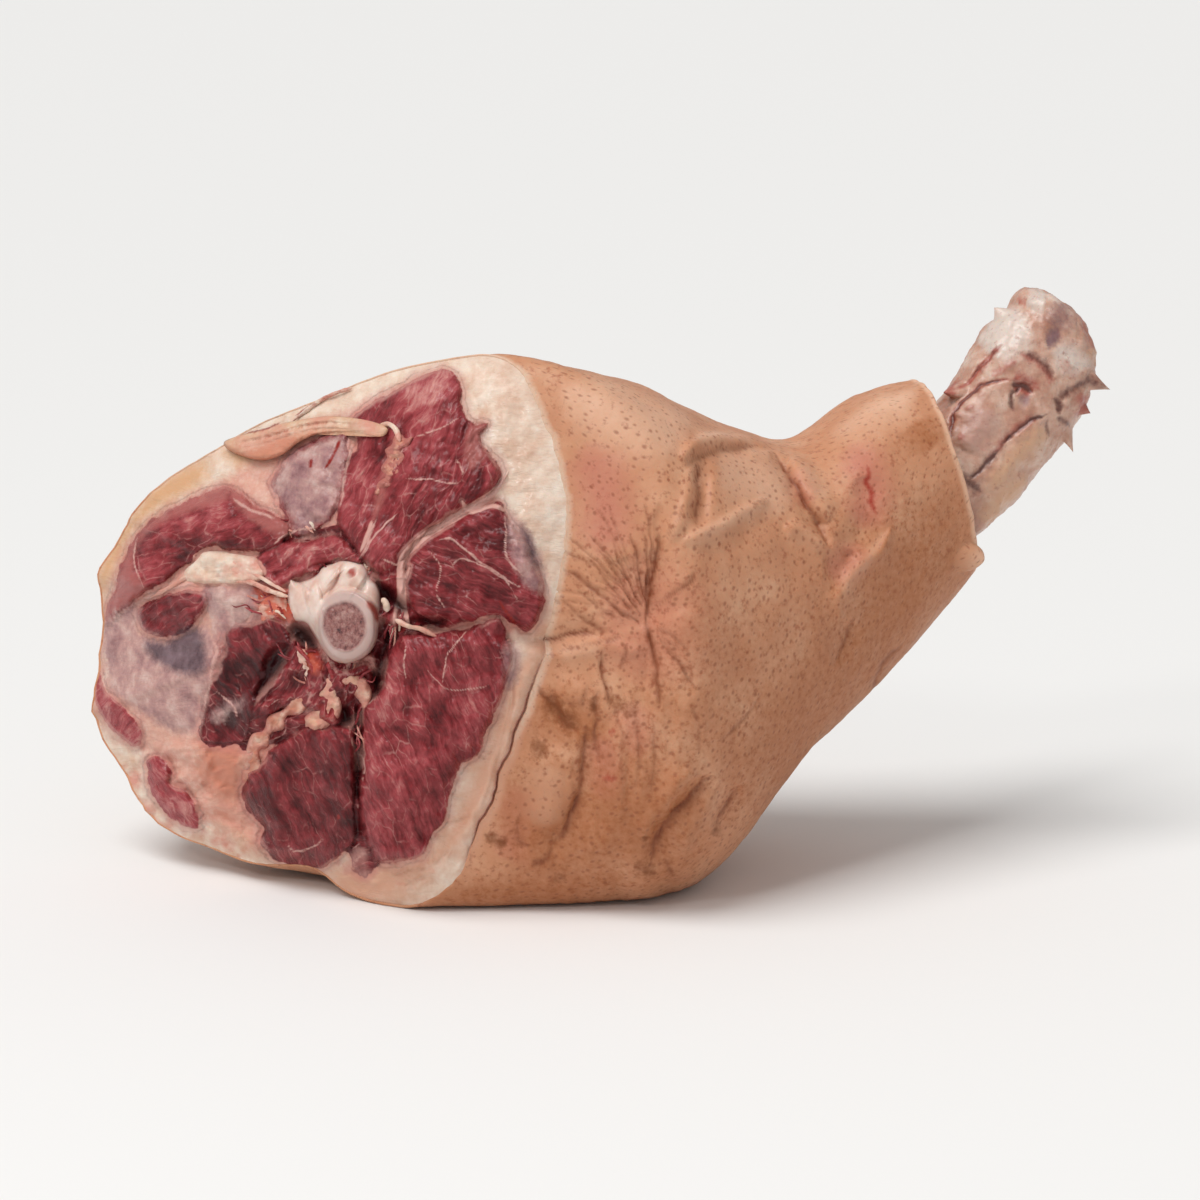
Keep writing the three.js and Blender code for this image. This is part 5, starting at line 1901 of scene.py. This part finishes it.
# Marks by attribute: strength, half width, relief in millimetres, and path.
HOCK_MARKS = {
    "raw": [
        (1.2, 1.53, -1.56, [(1004, 344), (990, 358), (975, 376), (960, 391)]),
        (1, 1.35, -0.96, [(1016, 380), (999, 380), (977, 389), (960, 406), (952, 420), (948, 440)]),
        (0.8, 3, 0, [(1012, 376), (1026, 380), (1040, 388)]),
        (1.2, 4.4, -1, [(1012, 386), (1024, 388), (1034, 393)]),
        (0.8, 2.16, -0.36, [(1040, 414), (1013, 432), (985, 462)]),
        (0.8, 2.34, -0.36, [(1020, 352), (1034, 358), (1046, 370), (1052, 386)]),
        (0.7, 2.4, 0, [(1016, 300), (1026, 302)]),
        (0.9, 3, 0, [(1080, 392), (1082, 406), (1078, 420)]),
        (1.3, 4, 0, [(948, 390), (962, 388)]),
        (0.7, 1.6, 0.4, [(958, 440), (964, 434)]),
        (0.5, 1.2, 0.4, [(966, 410), (974, 404)]),
        (0.5, 1.6, 0, [(1068, 300), (1084, 326), (1098, 356)]),
        (0.6, 2, 0.6, [(1018, 360), (1004, 368), (990, 376)]),
    ],
    "brown": [
        (0.6, 0.72, -0.6, [(1002, 347), (988, 362), (970, 380)]),
        (1, 0.9, -0.96, [(1008, 380), (992, 382), (974, 392), (960, 407), (952, 421), (949, 444)]),
        (1.2, 2, -1.6, [(1010, 386), (1020, 385), (1034, 393)]),
        (1, 2.4, -1.6, [(1014, 390), (1020, 392)]),
        (1.1, 1.3, -1.2, [(1013, 388), (1010, 398), (1012, 414)]),
        (1.1, 1.17, -1.44, [(1047, 413), (1030, 420), (1013, 434), (999, 448)]),
        (1.2, 1.44, -1.68, [(999, 448), (983, 467), (969, 480)]),
        (0.85, 2.3, -0.84, [(1026, 352), (1036, 356), (1047, 367), (1053, 382)]),
        (0.85, 2.2, -0.96, [(1092, 374), (1082, 382), (1068, 392), (1056, 404)]),
        (1, 1.6, -0.84, [(1052, 398), (1058, 404), (1060, 414)]),
        (0.9, 1.5, -0.6, [(1056, 416), (1064, 420), (1070, 427)]),
        (0.8, 1.08, -0.72, [(1048, 418), (1049, 438)]),
        (0.9, 2.7, -1.2, [(960, 474), (970, 484), (982, 494)]),
    ],
    "bruise": [
        (0.9, 4, -0.6, [(1020, 398), (1030, 404)]),
        (0.75, 8, 0, [(1058, 302), (1060, 318), (1056, 332)]),
        (1.3, 4, -0.8, [(1060, 328), (1050, 340), (1046, 342)]),
    ],
    # Painted sheen: a grey white shine on raised parts.
    "grey": [
        (1.1, 10, 2.4, [(964, 452), (978, 430), (994, 408)]),
        (0.9, 6, 0.8, [(1072, 362), (1064, 372)]),
    ],
    # Pale sinew, with a painted highlight over the bright zone at the upper left.
    "pale": [
        (1.5, 14, 1, [(982, 352), (1000, 334), (1030, 318)]),
        (1.4, 7, 0.8, [(1026, 300), (1046, 298)]),
        (1.2, 8, 0.6, [(1052, 352), (1072, 360), (1080, 374)]),
    ],
    "tan": [
        (1.2, 6, 2, [(985, 500), (1006, 470), (1034, 440), (1050, 428)]),
        (1.3, 7, 0.4, [(985, 530), (1000, 506), (1030, 474)]),
        (1.2, 3.4, 0.6, [(1094, 346), (1096, 366)]),
    ],
}
print(sum(map(len, HOCK_MARKS.values())), "marks on the hock")

# %% Rings of the hock
# Ragged ends of skin: where, to where in the picture, half sizes, how far out, and how sharp.
HOCK_TAGS = [
    ((1092, 381), (1112, 390), 5.4, 5.0),
    ((1072, 434), (1077, 453), 5.0, 5.0),
    ((1004, 314), (993, 306), 7.0, 5.0),
    ((1084, 410), (1092, 414), 4.0, 4.0),
    ((957, 389), (940, 393), 5.5, 9.0, 7.0, 0.8),
]
hock_deep = unit(np.cross(HOCK_AXIS, [0.78, 0.0, -0.62]))
hock_across = np.cross(hock_deep, HOCK_AXIS)
ring = 2 * np.pi * np.arange(HOCK_AROUND) / HOCK_AROUND
share = np.linspace(0, 1, HOCK_ALONG)
hock_middle = through([s[0] for s in HOCK_SECTIONS], share)[:, None]
hock_halves = through([s[1:] for s in HOCK_SECTIONS], share)


def hock_ring(middle, halves, size, rise):
    """Rings of the hock: squarish ovals across its axis, shrunk by size and moved along the axis by rise."""
    cos = np.sign(np.cos(ring)) * np.abs(np.cos(ring)) ** SQUARENESS
    sin = np.sign(np.sin(ring)) * np.abs(np.sin(ring)) ** SQUARENESS
    wide, deep = (halves[:, i, None] * size for i in (0, 1))
    across, deep = hock_across * (wide * cos)[..., None], hock_deep * (deep * sin)[..., None]
    return middle + across + deep + HOCK_AXIS * rise


end_bend = np.linspace(0, np.pi / 2, 34)[1:-1, None]
hock_rows = np.concatenate([
    hock_ring(hock_middle, hock_halves, 1.0, 0.0),
    hock_ring(
        hock_middle[-1:] - HOCK_END_SLANT * np.sin(end_bend)[..., None] * hock_across, hock_halves[-1:],
        np.cos(end_bend) ** 0.75, HOCK_END_RISE * np.sin(end_bend)[..., None],
    ),
])
hock_tip = hock_middle[-1] + HOCK_AXIS * HOCK_END_RISE - HOCK_END_SLANT * hock_across
hock_body, quads, fans = closed(hock_middle[0], hock_rows, hock_tip)
print(len(hock_rows), "rings of", HOCK_AROUND, "points")

# %% Marks and ragged ends of the hock
hock_place = seen(hock_body) + 2 * np.column_stack([hills(hock_body, 8, 3, seed) for seed in (35, 36)])
share = np.clip((hock_body[:, 2] - HOCK_LOW) / HOCK_TALL, 0, 1)
axis_places = through([s[0] for s in HOCK_SECTIONS], share)
outward = unit(hock_body - axis_places + 1e-6)
facing, behind = smooth(-(outward @ FORWARD), 0.0, 0.3), smooth(outward @ FORWARD, 0.0, 0.4)
hock_values = {key: np.zeros(len(hock_body)) for key in HOCK_MARKS}
rise = np.zeros(len(hock_body))
for key, marks in HOCK_MARKS.items():
    for strength, half, height, path in marks:
        mark = stroke(hock_place, path, half) * facing
        raise_to(hock_values, key, strength * mark)
        rise += height * mark
raise_to(hock_values, "raw", behind * smooth(hills(hock_body, 22, 3, seed=31), 0.2, 0.8))
raise_to(hock_values, "brown", 0.5 * behind * smooth(hills(hock_body, 15, 3, seed=32), 0.4, 0.9))
bulge = 1.8 * hills(hock_body, 18, 3, seed=33) + 0.5 * hills(hock_body, 5, 3, seed=34)
hock_body = lifted(hock_body + outward * bulge[:, None], rise)
for tag in HOCK_TAGS:
    hock_body = drawn_out(hock_body, *tag)
make("bare_hock", [(hock_body, quads, fans)], sinew_skin, ["hock"], hock_values)

# %% [markdown]
# ## Floor, light and camera
# A butcher's photo: a white ground, a wide soft light from above and in front, and a weaker one from the
# left that brings out the relief of the cut. A sky texture would tint the meat, so the world is plain
# white. The camera stands 12 degrees above the leg with a long lens, which keeps the leg's two ends to one
# scale.

# %% Floor
FLOOR_HALF = 60.0                   # metres, so that its edge is never seen
ground, tree, shader = surface("white paper ground", Roughness=0.9)
shader.inputs["Base Color"].default_value = linear("EBEAE8")
corners = [(x * FLOOR_HALF, y * FLOOR_HALF, 0) for x, y in ((-1, -1), (1, -1), (1, 1), (-1, 1))]
floor_mesh = bpy.data.meshes.new("floor")
floor_mesh.from_pydata(corners, [], [(0, 1, 2, 3)])
floor_mesh.materials.append(ground)
floor = bpy.data.objects.new("floor", floor_mesh)
bpy.context.scene.collection.objects.link(floor)
floor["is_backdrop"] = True
print("floor:", 2 * FLOOR_HALF, "m wide")


# %% Lights
def lamp(name, kind, place, aim, power, **settings):
    """A light at a place, turned towards a point, with its other settings."""
    light = bpy.data.lights.new(name, kind)
    light.energy = power
    for key, value in settings.items():
        setattr(light, key, value)
    holder = bpy.data.objects.new(name, light)
    bpy.context.scene.collection.objects.link(holder)
    holder.location = place
    holder.rotation_mode = "QUATERNION"
    holder.rotation_quaternion = Vector(np.subtract(aim, place)).to_track_quat("-Z", "Y")
    print("light:", name)


lamp("overhead", "SUN", (-0.30, -0.27, 0.92), (0, 0, 0), 2.05, angle=np.radians(35))
lamp("glint", "AREA", (-0.9, -1.5, 1.3), (-0.1, 0, 0.15), 5, size=0.25)
world = bpy.data.worlds.new("studio")
bpy.context.scene.world = world
world.use_nodes = True
sky = world.node_tree.nodes["Background"]
sky.inputs["Color"].default_value = linear("FFFFFF")
sky.inputs["Strength"].default_value = 0.45

# %% Camera
camera_data = bpy.data.cameras.new("camera")
camera_data.lens = 100
camera_data.sensor_width = 36
camera = bpy.data.objects.new("camera", camera_data)
bpy.context.scene.collection.objects.link(camera)
camera.location = (EYE + TO_FRAME) * MM
camera.rotation_mode = "QUATERNION"
camera.rotation_quaternion = Vector(FORWARD).to_track_quat("-Z", "Y")
bpy.context.scene.camera = camera
bpy.context.scene.view_settings.view_transform = "Standard"
print("camera:", camera_data.lens, "mm lens")

# %% Print the sizes and finish
sizes = [[list(corner) for corner in box] for box in (cad_box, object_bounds())]
print("solids and pieces:", sizes)
